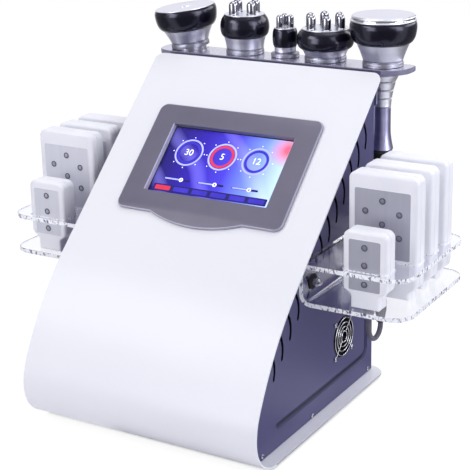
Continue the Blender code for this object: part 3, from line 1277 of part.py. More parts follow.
def pad_lead():
    """A limp lead between two sockets under the tray, straight out of each and round below."""
    front, rear = lead_ends()
    for name, end, length, surface in (
        ("lead_socket_front", front, FRONT_SOCKET_LENGTH, LEAD_GREY),
        ("lead_socket_rear", rear, REAR_SOCKET_LENGTH, BLACK_RUBBER),
    ):
        base = SOCKET_RADIUS * SOCKET_TAPER_SHARE
        shoulder = length * SOCKET_SHOULDER_SHARE
        profile = [(0.0, 0.0), (base, 0.0), (SOCKET_RADIUS, shoulder), (SOCKET_RADIUS, length), (0.0, length)]
        socket = lathe(name, profile, surface, SOCKET_SEGMENTS)
        socket.location = end + Vector((0.0, 0.0, CLEARANCE))
    down = Vector((0.0, 0.0, -1.0))
    controls = (
        front + down * LEAD_FRONT_STRAIGHT,
        front + down * (LEAD_FRONT_STRAIGHT + LEAD_FRONT_PULL),
        rear + down * (LEAD_REAR_STRAIGHT + LEAD_REAR_PULL),
        rear + down * LEAD_REAR_STRAIGHT,
    )
    route = [front]
    for step in range(LEAD_POINTS - 1):
        t = step / (LEAD_POINTS - 2)
        weights = ((1 - t) ** 3, 3 * t * (1 - t) ** 2, 3 * t * t * (1 - t), t ** 3)
        route.append(sum((w * c for w, c in zip(weights, controls)), Vector()))
    route.append(rear)
    curve = bpy.data.curves.new("pad_lead", "CURVE")
    curve.dimensions = "3D"
    curve.bevel_depth = LEAD_DIAMETER / 2
    curve.bevel_resolution = LEAD_BEVEL_RESOLUTION
    curve.use_fill_caps = True
    spline = curve.splines.new("POLY")
    spline.points.add(len(route) - 1)
    for point, place in zip(spline.points, route):
        point.co = (*place, 1.0)
    curve.materials.append(LEAD_GREY)
    bpy.context.scene.collection.objects.link(bpy.data.objects.new("pad_lead", curve))


def power_supply():
    """Vented metal case on the base."""
    width, length, height = SUPPLY_SIZE
    made = box("power_supply", SUPPLY_SIZE, STEEL)
    middle = CASING_REAR - SUPPLY_FROM_REAR - length / 2
    made.location = (-SUPPLY_FROM_CENTRE, middle, CASING_BOTTOM + height / 2)
    bpy.context.view_layer.update()
    size = (width * SUPPLY_VENT_LENGTH_SHARE, SUPPLY_VENT_WIDTH, 2 * SUPPLY_VENT_DEPTH)
    pitch = length * SUPPLY_VENT_ROW_SHARE / SUPPLY_VENTS
    for index in range(SUPPLY_VENTS):
        vent = box("supply_vent_" + str(index + 1), size, STEEL)
        along = pitch * (index - (SUPPLY_VENTS - 1) / 2)
        vent.matrix_world = Matrix.Translation((0.0, along, height / 2))
        cut_or_join(made, vent, "DIFFERENCE")


def vacuum_pump():
    """Round motor with a square diaphragm head, lying along Y on the base."""
    side = PUMP_HEAD_SIZE
    shape = rounded_rectangle(side, side, PUMP_HEAD_CORNER_RADIUS)
    place = frame_matrix((0, 0, 0), (1, 0, 0), (0, 0, 1), (0, -1, 0))
    made = plate("vacuum_pump", shape, [], ((0, 0), (PUMP_HEAD_DEPTH, 0)), place, STEEL)
    made.location = (PUMP_FROM_CENTRE, CASING_REAR - PUMP_FROM_REAR - PUMP_LENGTH, CASING_BOTTOM + side / 2)
    bpy.context.view_layer.update()
    ring = circle((0.0, 0.0), PUMP_RADIUS, PUMP_SEGMENTS)
    place = frame_matrix((0, 0, 0), (1, 0, 0), (0, 0, 1), (0, 1, 0))
    levels = ((-PUMP_HEAD_DEPTH / 2, 0), (PUMP_LENGTH - PUMP_CHAMFER, 0), (PUMP_LENGTH, PUMP_CHAMFER))
    motor = plate("pump_motor", ring, [], levels, place, STEEL)
    cut_or_join(made, motor, "UNION")
    radius, top = side * SPOUT_RADIUS_SHARE, side * SPOUT_HEIGHT_SHARE
    for index, share in enumerate(SPOUT_SHARES):
        profile = [(0.0, 0.0), (radius, 0.0), (radius, top), (0.0, top)]
        spout = lathe("pump_spout_" + str(index + 1), profile, STEEL, PIN_SEGMENTS)
        spout.matrix_world = Matrix.Translation((side * share, -PUMP_HEAD_DEPTH / 2, 0.0))
        cut_or_join(made, spout, "UNION")


front_sheet()
foot_strips()
side_cover(1, "side_cover_right", True)
side_cover(-1, "side_cover_left", False)
rear_housing()
display()
handpiece_rack()
fan_frame()
fan_rotor()
fan_guard()
power_inlet()
power_switch()
power_supply()
vacuum_pump()
for head in HEADS:
    handpiece(head)
for sign, label in ((1, "right"), (-1, "left")):
    tray(sign, label)
    for pad_name, pad_kind, pad_y in pad_rows():
        laser_pad(sign, label, pad_name, pad_kind, pad_y)
pad_lead()
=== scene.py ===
"""Looks of the tabletop slimming machine: finishes, fine forms, lit screen, lead, light and camera."""

import json
from collections import namedtuple
from math import cos, pi, radians, sin, tan, tau

import bmesh
import bpy
from mathutils import Matrix, Vector
from mathutils.geometry import tessellate_polygon

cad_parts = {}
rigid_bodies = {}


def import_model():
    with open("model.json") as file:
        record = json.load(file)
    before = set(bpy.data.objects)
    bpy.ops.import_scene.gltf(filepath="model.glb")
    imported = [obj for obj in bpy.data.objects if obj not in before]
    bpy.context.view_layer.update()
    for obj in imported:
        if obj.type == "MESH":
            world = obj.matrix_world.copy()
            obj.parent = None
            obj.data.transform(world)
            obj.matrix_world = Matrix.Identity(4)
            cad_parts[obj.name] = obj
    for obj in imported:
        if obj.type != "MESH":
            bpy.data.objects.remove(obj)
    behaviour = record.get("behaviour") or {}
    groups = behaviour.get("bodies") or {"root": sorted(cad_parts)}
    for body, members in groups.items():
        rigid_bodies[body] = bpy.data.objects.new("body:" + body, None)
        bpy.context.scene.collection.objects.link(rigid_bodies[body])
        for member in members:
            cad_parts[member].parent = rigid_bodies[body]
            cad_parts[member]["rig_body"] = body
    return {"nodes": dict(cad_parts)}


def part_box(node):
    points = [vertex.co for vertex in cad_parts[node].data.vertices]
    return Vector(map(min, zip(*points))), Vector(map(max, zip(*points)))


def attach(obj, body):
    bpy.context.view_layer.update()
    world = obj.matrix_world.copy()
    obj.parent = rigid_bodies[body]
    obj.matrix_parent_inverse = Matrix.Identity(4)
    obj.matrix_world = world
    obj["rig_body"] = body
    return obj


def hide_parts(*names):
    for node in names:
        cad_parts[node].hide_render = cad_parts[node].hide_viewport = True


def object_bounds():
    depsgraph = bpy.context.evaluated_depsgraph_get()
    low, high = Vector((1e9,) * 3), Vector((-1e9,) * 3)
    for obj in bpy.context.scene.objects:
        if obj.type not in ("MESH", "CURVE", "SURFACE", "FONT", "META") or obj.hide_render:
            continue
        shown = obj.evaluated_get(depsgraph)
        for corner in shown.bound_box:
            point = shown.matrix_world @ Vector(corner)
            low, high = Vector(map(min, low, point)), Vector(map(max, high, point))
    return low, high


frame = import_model()
NODES = frame["nodes"]
CAD_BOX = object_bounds()

# Camera, solved from the photograph's parallel edges
CAMERA_AZIMUTH = radians(31.1645)
CAMERA_ELEVATION = radians(18.5878)
CAMERA_ROLL = radians(-1.3398)
CAMERA_FOCAL_PIXELS = 1357.27
PHOTO_PIXELS = 470.0
SENSOR_WIDTH = 36.0
CAMERA_FROM_FRONT = Vector((0.77403, -1.06327, 0.68243))

# Fits and fineness
CLEAR = 0.0003
FINE_TURNS = 96
EDGE = 0.0005
WELD = 0.00002
CORNERS = ((1, 1), (1, -1), (-1, 1), (-1, -1))
SIDES = ((1, "right"), (-1, "left"))

# Sheet and casing
SHEET_WIDTH = 0.300
SHEET_GAUGE = 0.002
BASE_BOTTOM = 0.004
SLOPE_ANGLE = radians(42.5)
KNEE_ANGLE = radians(64.0)
TOE_RADIUS = 0.042
KNEE_RADIUS = 0.070
SWEEP_RADIUS = 0.356
SLOPE_LENGTH = 0.2805
BASE_LENGTH = 0.316
SHEET_CORNER_RADIUS = 0.011
BASE_CORNER_RADIUS = 0.020
HALF_CASING = 0.134
CASING_DEPTH = 0.307
CASING_WALL = 0.003
FRONT = CAD_BOX[0].y
CASING_REAR = FRONT + CASING_DEPTH
COVER_SCREWS = ((0.0390, 0.0085), (0.1516, 0.0072), (0.2949, 0.0075))
SCREW_RADIUS = 0.0026

# Pressed groove
GROOVE_HEIGHT = 0.028
GROOVE_FROM_REAR = 0.0175
GROOVE_FROM_FRONT = 0.080
GROOVE_TOP = 0.165
GROOVE_HALF = 0.0048
GROOVE_CORNER = 0.0170

# Louvres
LOUVRE_FIRST = 0.0655
LOUVRE_LAST = 0.2827
LOUVRE_DROP = 0.0775
LOUVRE_LENGTH = 0.037

# Display
SCREEN_WIDTH = 0.1590
SCREEN_HEIGHT = 0.0912
SCREEN_FROM_TOP = 0.0990
SCREEN_MIDDLE = SCREEN_FROM_TOP + SCREEN_HEIGHT / 2
BEZEL_WIDTH = 0.2146
BEZEL_HEIGHT = 0.1435
BEZEL_FROM_TOP = 0.0731
BEZEL_THICKNESS = 0.0035
BEZEL_CORNER_RADIUS = 0.010
BEZEL_CHAMFER = 0.0012
BEZEL_CHIN_WIDTH = 0.119
BEZEL_CHIN_DEPTH = 0.0119
WELL_EDGE = 0.0006
PICTURE_MARGIN = 0.0011
SKIRT_WALL = 0.0025
SKIRT_DEPTH = 0.003
TILE_THICKNESS = 0.00012
TILE_STEP = 0.00014

# Menu: levels as shares of the screen's height, from its middle, and the radius of a dial's ring of ticks
BAR_LEVEL = -0.405
DIAL_LEVEL = 0.14
SLIDER_LEVEL = -0.265
TICK_RING = 0.0205


# Materials

class Nodes:
    """A short way to write the node tree of a material or of the world."""

    def __init__(self, owner):
        owner.use_nodes = True
        self.owner, self.tree = owner, owner.node_tree
        self.shader = self.tree.nodes.get("Principled BSDF")

    def fill(self, node, values):
        """Links a node's inputs to sockets, or sets them."""
        for key, value in values.items():
            if isinstance(value, bpy.types.NodeSocket):
                self.tree.links.new(value, node.inputs[key])
            else:
                node.inputs[key].default_value = value

    def set(self, **values):
        self.fill(self.shader, {key.replace("_", " "): value for key, value in values.items()})

    def add(self, kind, values=None, **settings):
        node = self.tree.nodes.new(kind)
        for key, value in settings.items():
            setattr(node, key, value)
        self.fill(node, values or {})
        return node

    def coordinates(self, scale=(1.0, 1.0, 1.0)):
        where = self.add("ShaderNodeTexCoord").outputs["Object"]
        return self.add("ShaderNodeMapping", {"Vector": where, "Scale": scale}).outputs["Vector"]

    def noise(self, scale, detail=3.0, stretch=(1.0, 1.0, 1.0), roughness=0.55):
        values = {"Scale": scale, "Detail": detail, "Roughness": roughness, "Vector": self.coordinates(stretch)}
        return self.add("ShaderNodeTexNoise", values).outputs["Fac"]

    def ramp(self, value, low, high, start=0.3, end=0.7):
        """A grey value, from low where the input is at start to high where it is at end."""
        values = {"Value": value, "From Min": start, "From Max": end, "To Min": low, "To Max": high}
        return self.add("ShaderNodeMapRange", values).outputs["Result"]

    def mixed(self, share, first, second, blend="MIX"):
        values = {"Factor": share, 6: first, 7: second}
        return self.add("ShaderNodeMix", values, data_type="RGBA", blend_type=blend).outputs[2]

    def tint(self, value, dark, light, start=0.3, end=0.7):
        """A colour between dark and light."""
        return self.mixed(self.ramp(value, 0.0, 1.0, start, end), (*dark, 1.0), (*light, 1.0))

    def colour_ramp(self, value, stops, interpolation="LINEAR"):
        node = self.add("ShaderNodeValToRGB", {"Fac": value})
        node.color_ramp.interpolation = interpolation
        elements = node.color_ramp.elements
        elements.remove(elements[1])
        elements[0].color = (*stops[0][1], 1.0)
        for where, colour in stops[1:]:
            elements.new(where).color = (*colour, 1.0)
        return node.outputs["Color"]

    def bump(self, value, strength, distance):
        values = {"Height": value, "Strength": strength, "Distance": distance}
        self.set(Normal=self.add("ShaderNodeBump", values).outputs["Normal"])

    def maths(self, operation, *values, **settings):
        return self.add("ShaderNodeMath", dict(enumerate(values)), operation=operation, **settings).outputs[0]

    def mix_shaders(self, share, first, second):
        return self.add("ShaderNodeMixShader", {"Fac": share, 1: first.outputs[0], 2: second.outputs[0]})

    def rays(self):
        """The light path's outputs, and whether the camera sees this place, directly or through acrylic."""
        ray = self.add("ShaderNodeLightPath").outputs
        return ray, self.maths("MAXIMUM", ray["Is Camera Ray"], ray["Is Transmission Ray"])


def surface(name, dark, light, cloud, gloss, grain, **settings):
    """A finish whose tint, roughness and relief each follow a noise of their own.

    Cloud is that noise's scale, detail and so on. Gloss and grain hold such a noise, and then the two
    roughnesses, or the relief's strength and depth.
    """
    n = Nodes(bpy.data.materials.new(name))
    n.set(Base_Color=n.tint(n.noise(*cloud), dark, light), Roughness=n.ramp(n.noise(*gloss[0]), *gloss[1:]))
    n.bump(n.noise(*grain[0]), *grain[1:])
    n.set(**settings)
    return n.owner


def painted(name, dark, light, roughness, coat, grain, depth, specular=0.35):
    """Baked paint: faint cloudiness, a fine grain and a little wear in the gloss."""
    return surface(name, dark, light, (9.0, 1.0), ((900.0, 2.0), roughness * 0.95, roughness * 1.05),
                   ((grain, 2.0), 0.15, depth), Coat_Weight=coat, Coat_Roughness=0.12,
                   Specular_IOR_Level=specular)


def moulded(name, dark, light, roughness, grain=2600.0, depth=0.00003, specular=0.5, **settings):
    """Moulded plastic with spark-eroded grain."""
    return surface(name, dark, light, (25.0, 3.0), ((180.0, 4.0), roughness * 0.9, roughness * 1.1),
                   ((grain, 2.0), 0.35, depth), Coat_Roughness=0.08, Specular_IOR_Level=specular, **settings)


def turned(name, dark, light, roughness, lines=1400.0):
    """Lathe-turned metal: fine rings round the object's own Z axis."""
    rings = (lines, 2.0, (0.012, 0.012, 1.0), 0.7)
    return surface(name, dark, light, (90.0, 3.0, (0.05, 0.05, 1.0)),
                   (rings, roughness * 0.85, roughness * 1.15), (rings, 0.08, 0.00002), Metallic=1.0)


def polished(name, colour, roughness, metallic=1.0):
    """Plated metal with a trace of handling haze."""
    return surface(name, [c * 0.93 for c in colour], colour, (120.0, 3.0),
                   ((400.0, 4.0), roughness * 0.7, roughness * 1.6), ((240.0, 2.0), 0.04, 0.00005),
                   Metallic=metallic)


def rubber(name, dark, light, roughness=0.75):
    return surface(name, dark, light, (150.0, 4.0), ((500.0, 3.0), roughness * 0.9, roughness * 1.15),
                   ((1800.0, 2.0), 0.3, 0.00004))


def label_plate(name, dark, light):
    """Satin label foil with a faint vertical sheen."""
    return surface(name, dark, light, (160.0, 3.0, (1.0, 1.0, 0.05)), ((900.0, 3.0), 0.34, 0.42),
                   ((3000.0, 2.0), 0.15, 0.00002), Metallic=0.15)


def cut_edge():
    """Sawn and flame-polished acrylic edge, rippled; its brightness is a painted glow and its small dark flecks are
    painted reflections.
    """
    n = Nodes(bpy.data.materials.new("acrylic_edge_painted_glow"))
    painted_reflection_flecks = n.noise(300.0, 5.0, (1.0, 1.0, 0.5), 0.75)
    n.set(Base_Color=n.tint(painted_reflection_flecks, (0.12, 0.11, 0.20), (0.90, 0.905, 0.95), 0.41, 0.48),
          Roughness=n.ramp(n.noise(420.0, 3.0), 0.06, 0.22),
          Emission_Color=n.tint(painted_reflection_flecks, (0.0, 0.0, 0.0), (0.90, 0.91, 1.0), 0.41, 0.48),
          Transmission_Weight=0.15, IOR=1.49, Emission_Strength=0.16)
    n.bump(n.noise(520.0, 3.0), 0.5, 0.0004)
    return n.owner


WHITE_PAINT = painted("white_gloss_paint", (0.868, 0.870, 0.922), (0.880, 0.882, 0.932), 0.34, 0.06, 900.0, 0.00002)
# Painted shade: a darker copy of the white paint for the base plate's cut edge, standing for the shadow line at its
# foot.
SHEET_EDGE_SHADE = painted("sheet_edge_painted_shade", (0.40, 0.395, 0.46), (0.46, 0.455, 0.52), 0.40, 0.0, 900.0, 0.00002)
CASING_PAINT = painted("grey_violet_paint", (0.084, 0.080, 0.180), (0.095, 0.090, 0.202), 0.38, 0.0,
                       1400.0, 0.00005, 0.18)
# Painted shade: darker copies of the casing paint for the pressed groove's shaded faces and, less dark, its lit lower
# lip.
GROOVE_SHADE = painted("groove_shade_paint", (0.022, 0.021, 0.048), (0.029, 0.027, 0.062), 0.40, 0.0,
                       1400.0, 0.00005, 0.18)
GROOVE_LIP_SHADE = painted("groove_lip_painted_shade", (0.050, 0.047, 0.108), (0.060, 0.057, 0.128), 0.40, 0.0,
                     1400.0, 0.00005, 0.18)
# Painted highlight: a paler copy of the rack paint for its lit ends and front lip.
RACK_EDGE_HIGHLIGHT = painted("rack_edge_painted_highlight", (0.230, 0.220, 0.330), (0.262, 0.250, 0.368), 0.28, 0.10, 1400.0, 0.00004)
RACK_PAINT = painted("rack_grey_paint", (0.100, 0.095, 0.158), (0.122, 0.116, 0.186), 0.40, 0.04,
                     1400.0, 0.00004, 0.25)
BEZEL_PLASTIC = moulded("bezel_satin", (0.140, 0.132, 0.188), (0.158, 0.149, 0.208), 0.36)
# Painted highlights: paler copies of the bezel plastic for its lit reveal and broken outer edge.
BEZEL_REVEAL_HIGHLIGHT = moulded("bezel_reveal_painted_highlight", (0.62, 0.60, 0.76), (0.68, 0.66, 0.82), 0.24, 1800.0, 0.00002)
BEZEL_EDGE_HIGHLIGHT = moulded("bezel_edge_painted_highlight", (0.36, 0.345, 0.46), (0.42, 0.40, 0.53), 0.24, 1800.0, 0.00002)
GLOSS_BLACK = moulded("gloss_black", (0.004, 0.004, 0.008), (0.010, 0.009, 0.016), 0.10, 700.0, 0.000015,
                      Coat_Weight=0.6)
BAND_BLACK = moulded("band_black", (0.003, 0.003, 0.008), (0.006, 0.005, 0.013), 0.20, 900.0, 0.000004, 0.52,
                     Specular_Tint=(0.80, 0.79, 1.0, 1.0))
MATT_BLACK = moulded("matt_black", (0.008, 0.008, 0.011), (0.016, 0.016, 0.021), 0.50, specular=0.25)
# Painted shade: near black for the louvre slots' walls and the sheet behind them, where there is only shade.
VENT_SHADE = surface("vent_painted_shade", (0.003, 0.003, 0.004), (0.007, 0.007, 0.010), (800.0, 3.0),
                     ((500.0, 3.0), 0.8, 1.0), ((2200.0, 2.0), 0.3, 0.0001), Specular_IOR_Level=0.08)
PAD_PLASTIC = moulded("pad_white", (0.86, 0.86, 0.925), (0.91, 0.91, 0.965), 0.38, 2200.0)
LENS_RING = moulded("lens_ring", (0.085, 0.085, 0.125), (0.12, 0.12, 0.165), 0.35)
TURNED_METAL = turned("turned_aluminium", (0.68, 0.68, 0.78), (0.82, 0.82, 0.90), 0.43)
DISC_METAL = turned("satin_face", (0.74, 0.74, 0.81), (0.82, 0.82, 0.88), 0.34, 900.0)
# Painted shade on the collars and the lower grip, and a painted highlight on the upper grip: darker and lighter
# copies of the turned metal.
COLLAR_SHADE_METAL = turned("shaded_collar", (0.34, 0.34, 0.41), (0.44, 0.44, 0.51), 0.42)
GRIP_HIGHLIGHT_METAL = turned("grip_painted_highlight", (0.82, 0.82, 0.90), (0.90, 0.90, 0.96), 0.40)
SHADED_METAL = turned("shaded_grip", (0.33, 0.32, 0.48), (0.43, 0.42, 0.60), 0.34)
# Pale metal for the rack's top faces: real gloss, with painted light making the top paler than the rest of the rack.
RACK_TOP_GLOSS_AND_LIGHT = polished("rack_top_gloss_and_painted_light", (0.66, 0.65, 0.74), 0.20, 0.88)
CHROME = polished("chrome", (0.86, 0.86, 0.90), 0.05)
ELECTRODE_METAL = polished("electrode_metal", (0.38, 0.38, 0.43), 0.07)
STEEL = polished("bare_steel", (0.50, 0.51, 0.55), 0.30)
LENS_GLASS = polished("lens_glass", (0.22, 0.22, 0.29), 0.34, 0.1)
# Painted light: a paler copy of the lens glass for the left side.
LIT_LENS_GLASS = polished("lens_glass_painted_light", (0.40, 0.40, 0.48), 0.34, 0.1)
ACRYLIC = surface("clear_acrylic", (0.93, 0.94, 0.985), (0.96, 0.965, 1.0), (30.0, 2.0),
                  ((300.0, 5.0), 0.0, 0.05), ((45.0, 2.0), 0.06, 0.0002), Transmission_Weight=1.0, IOR=1.49)
ACRYLIC_EDGE_GLOW = cut_edge()
BLACK_RUBBER = rubber("black_rubber", (0.008, 0.008, 0.010), (0.022, 0.022, 0.026))
LEAD_SHEATH = rubber("grey_lead", (0.080, 0.076, 0.112), (0.120, 0.114, 0.158), 0.5)
LABEL_FOIL = label_plate("label_foil", (0.385, 0.385, 0.460), (0.415, 0.415, 0.490))
# Painted light: a paler copy of the label foil for the left side.
LIT_LABEL_FOIL = label_plate("label_foil_painted_light", (0.665, 0.665, 0.745), (0.705, 0.705, 0.785))
BOARD = surface("circuit_board", (0.006, 0.09, 0.035), (0.015, 0.17, 0.07), (700.0, 2.0, (1.0, 0.2, 1.0)),
                ((90.0, 3.0), 0.35, 0.55), ((900.0, 2.0), 0.3, 0.0001))


# Geometry helpers

def placed(name, data, place=None, body=None, replaced=()):
    """A new object in the scene, with its body and the CAD nodes that it stands for."""
    made = bpy.data.objects.new(name, data)
    bpy.context.scene.collection.objects.link(made)
    if place:
        made.matrix_world = place
    if body:
        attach(made, body)
    if replaced:
        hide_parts(*replaced)
    return made


def add_object(name, bm, finish, body, replaced=(), angle=30.0, place=None):
    """A smooth-shaded piece, with sharp edges where its faces turn by more than the angle."""
    bmesh.ops.recalc_face_normals(bm, faces=bm.faces)
    mesh = bpy.data.meshes.new(name)
    bm.to_mesh(mesh)
    bm.free()
    mesh.materials.append(finish)
    mesh.shade_smooth()
    mesh.set_sharp_from_angle(angle=radians(angle))
    return placed(name, mesh, place, body, replaced)


def break_edges(made, width, angle, harden=True):
    modifier = made.modifiers.new("edges", "BEVEL")
    modifier.width = width
    modifier.segments = 2
    modifier.limit_method = "ANGLE"
    modifier.angle_limit = radians(angle)
    modifier.harden_normals = harden


def dressed(node, finish, bevel=EDGE, angle=30.0):
    """A welded, smooth-shaded copy of a CAD node with softened edges, which stands for it."""
    bm = bmesh.new()
    bm.from_mesh(NODES[node].data)
    bmesh.ops.remove_doubles(bm, verts=bm.verts, dist=WELD)
    flat = [e for e in bm.edges if len(e.link_faces) == 2 and e.calc_face_angle(1.0) < radians(0.05)]
    bmesh.ops.dissolve_edges(bm, edges=flat, use_verts=False)
    made = add_object(node + "_skin", bm, finish, NODES[node]["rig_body"], (node,), angle)
    if bevel:
        break_edges(made, bevel, angle, False)
    normals = made.modifiers.new("normals", "WEIGHTED_NORMAL")
    normals.keep_sharp = True
    normals.weight = 100
    return made


def two_tone(made, finish, chosen):
    """Gives the faces that chosen(centre, normal) picks another material."""
    made.data.materials.append(finish)
    for face in made.data.polygons:
        if chosen(face.center, face.normal):
            face.material_index = len(made.data.materials) - 1


def arc(centre, radius, start, end, steps):
    for step in range(steps + 1):
        angle = start + (end - start) * step / steps
        yield Vector((centre[0] + radius * cos(angle), centre[1] + radius * sin(angle)))


def circle(radius):
    return list(arc((0.0, 0.0), radius, 0.0, tau, 48))[:-1]


def rounded_rectangle(width, height, radius, steps=8, centre=(0.0, 0.0)):
    points = []
    for quarter, (sx, sy) in enumerate(((1, -1), (1, 1), (-1, 1), (-1, -1))):
        middle = (centre[0] + sx * (width / 2 - radius), centre[1] + sy * (height / 2 - radius))
        start = radians(90.0) * (quarter - 1)
        points += arc(middle, radius, start, start + radians(90.0), steps)
    return points


def plane(origin, u, v, w):
    rows = [[Vector(axis)[row] for axis in (u, v, w)] + [Vector(origin)[row]] for row in range(3)]
    return Matrix(rows + [[0.0, 0.0, 0.0, 1.0]])


def inset(points, distance):
    moved = []
    for index, here in enumerate(points):
        before = (here - points[index - 1]).normalized()
        after = (points[(index + 1) % len(points)] - here).normalized()
        side = Vector((-before.y, before.x))
        bisector = (side + Vector((-after.y, after.x))).normalized()
        moved.append(here + bisector * (distance / max(bisector.dot(side), 0.5)))
    return moved


def raised(bm, shape, levels, place):
    """Rings of vertices over a flat shape, one for each (height, inset)."""
    return [[bm.verts.new(place @ Vector((p.x, p.y, height))) for p in (inset(shape, amount) if amount else shape)]
            for height, amount in levels]


def filled(bm, loops, place):
    """Faces between the loops of vertices that bound one flat area."""
    local = place.inverted()
    flat = [vertex for loop in loops for vertex in loop]
    for triangle in tessellate_polygon([[(local @ v.co).to_2d().to_3d() for v in loop] for loop in loops]):
        bm.faces.new([flat[i] for i in triangle])


def walled(bm, rings):
    """Walls between rings of vertices."""
    faces = []
    for lower, upper in zip(rings, rings[1:]):
        for index in range(len(lower)):
            after = (index + 1) % len(lower)
            faces.append(bm.faces.new((lower[index], lower[after], upper[after], upper[index])))
    return faces


def bridged(bm, loops):
    """A closed skin over loops of points."""
    rings = [[bm.verts.new(point) for point in loop] for loop in loops]
    walled(bm, rings)
    bm.faces.new(rings[0])
    bm.faces.new(rings[-1])


def slab(name, outline, holes, levels, place, finish, body, replaced=()):
    """A flat piece: outline and holes in a plane, swept through levels of (height, inset)."""
    bm = bmesh.new()
    walls = [raised(bm, outline, levels, place)]
    walls += [raised(bm, hole, [(height, -amount) for height, amount in levels], place) for hole in holes]
    for level in (0, -1):
        if holes:
            filled(bm, [rings[level] for rings in walls], place)
        else:
            bm.faces.new(walls[0][level])
    for rings in walls:
        walled(bm, rings)
    return add_object(name, bm, finish, body, replaced)


def lathe(bm, profile, segments, place=Matrix.Identity(4)):
    """Turns (radius, height) points; a zero radius closes the end."""
    turn = tau / segments
    rings = [[bm.verts.new(place @ Vector((radius * cos(turn * i), radius * sin(turn * i), height)))
              for i in range(segments if radius > 0 else 1)] for radius, height in profile]
    for lower, upper in zip(rings, rings[1:]):
        for index in range(segments):
            after = (index + 1) % segments
            corners = [lower[index % len(lower)], lower[after % len(lower)]]
            corners += [upper[after % len(upper)], upper[index % len(upper)]]
            kept = list(dict.fromkeys(corners))
            if len(kept) > 2:
                bm.faces.new(kept)


def lathed(name, profile, segments, place, finish, body):
    """A turned piece whose finish follows the whole object's axes."""
    bm = bmesh.new()
    lathe(bm, profile, segments, place)
    add_object(name, bm, finish, body)


def turned_piece(name, profile, finish, body, place, replaced=(), segments=FINE_TURNS):
    """A turned piece with its own axes, so that turned finishes run round it."""
    bm = bmesh.new()
    lathe(bm, profile, segments)
    return add_object(name, bm, finish, body, replaced, 28.0, place)


def softened(points, radius, steps=3):
    """Rounds the corners of an open profile."""
    result = [Vector(points[0])]
    for before, here, after in zip(points, points[1:], points[2:]):
        before, here, after = Vector(before), Vector(here), Vector(after)
        reach = min(radius, (before - here).length * 0.45, (after - here).length * 0.45)
        start = here + (before - here).normalized() * reach
        end = here + (after - here).normalized() * reach
        for step in range(steps + 1):
            t = step / steps
            result.append(start * (1 - t) ** 2 + here * 2 * t * (1 - t) + end * t * t)
    result.append(Vector(points[-1]))
    return result


def smooth_curve(points, steps=6):
    """A Catmull-Rom line through the points of a profile."""
    points = [Vector(p) for p in points]
    padded = [points[0]] + points + [points[-1]]
    line = []
    for a, b, c, d in zip(padded, padded[1:], padded[2:], padded[3:]):
        for step in range(steps):
            t = step / steps
            line.append(0.5 * ((2 * b) + (c - a) * t + (2 * a - 5 * b + 4 * c - d) * t * t
                               + (3 * b - a - 3 * c + d) * t * t * t))
    line.append(points[-1])
    return line


# Front sheet

def sheet_curve(depth):
    """The sheet's side view at a depth under its face, from the base's rear end to the slope's top."""
    toe = (FRONT + TOE_RADIUS, BASE_BOTTOM + TOE_RADIUS)
    knee = (FRONT + KNEE_RADIUS, BASE_BOTTOM + TOE_RADIUS)
    turn = pi / 2 - KNEE_ANGLE
    points = [Vector((FRONT + BASE_LENGTH, BASE_BOTTOM + depth))]
    points += arc(toe, TOE_RADIUS - depth, radians(270.0), radians(180.0), 21)
    points += list(arc(knee, KNEE_RADIUS - depth, pi, pi - turn, 12))[1:]
    sweep = Vector(knee) + Vector((cos(turn), -sin(turn))) * (SWEEP_RADIUS - KNEE_RADIUS)
    points += list(arc(sweep, SWEEP_RADIUS - depth, pi - turn, pi / 2 + SLOPE_ANGLE, 21))[1:]
    points.append(points[-1] + Vector((cos(SLOPE_ANGLE), sin(SLOPE_ANGLE))) * SLOPE_LENGTH)
    return points


SLOPE_TOP = sheet_curve(0.0)[-1]
UP_SLOPE = Vector((0.0, cos(SLOPE_ANGLE), sin(SLOPE_ANGLE)))
OFF_SLOPE = Vector((0.0, -sin(SLOPE_ANGLE), cos(SLOPE_ANGLE)))


def slope_plane(down):
    return plane(Vector((0.0, SLOPE_TOP.x, SLOPE_TOP.y)) - UP_SLOPE * down, (1, 0, 0), UP_SLOPE, OFF_SLOPE)


def screen_shape(margin, radius, steps, centre=(0.0, 0.0)):
    """The screen's outline, moved outwards by a margin."""
    return rounded_rectangle(SCREEN_WIDTH + 2 * margin, SCREEN_HEIGHT + 2 * margin, radius, steps, centre)


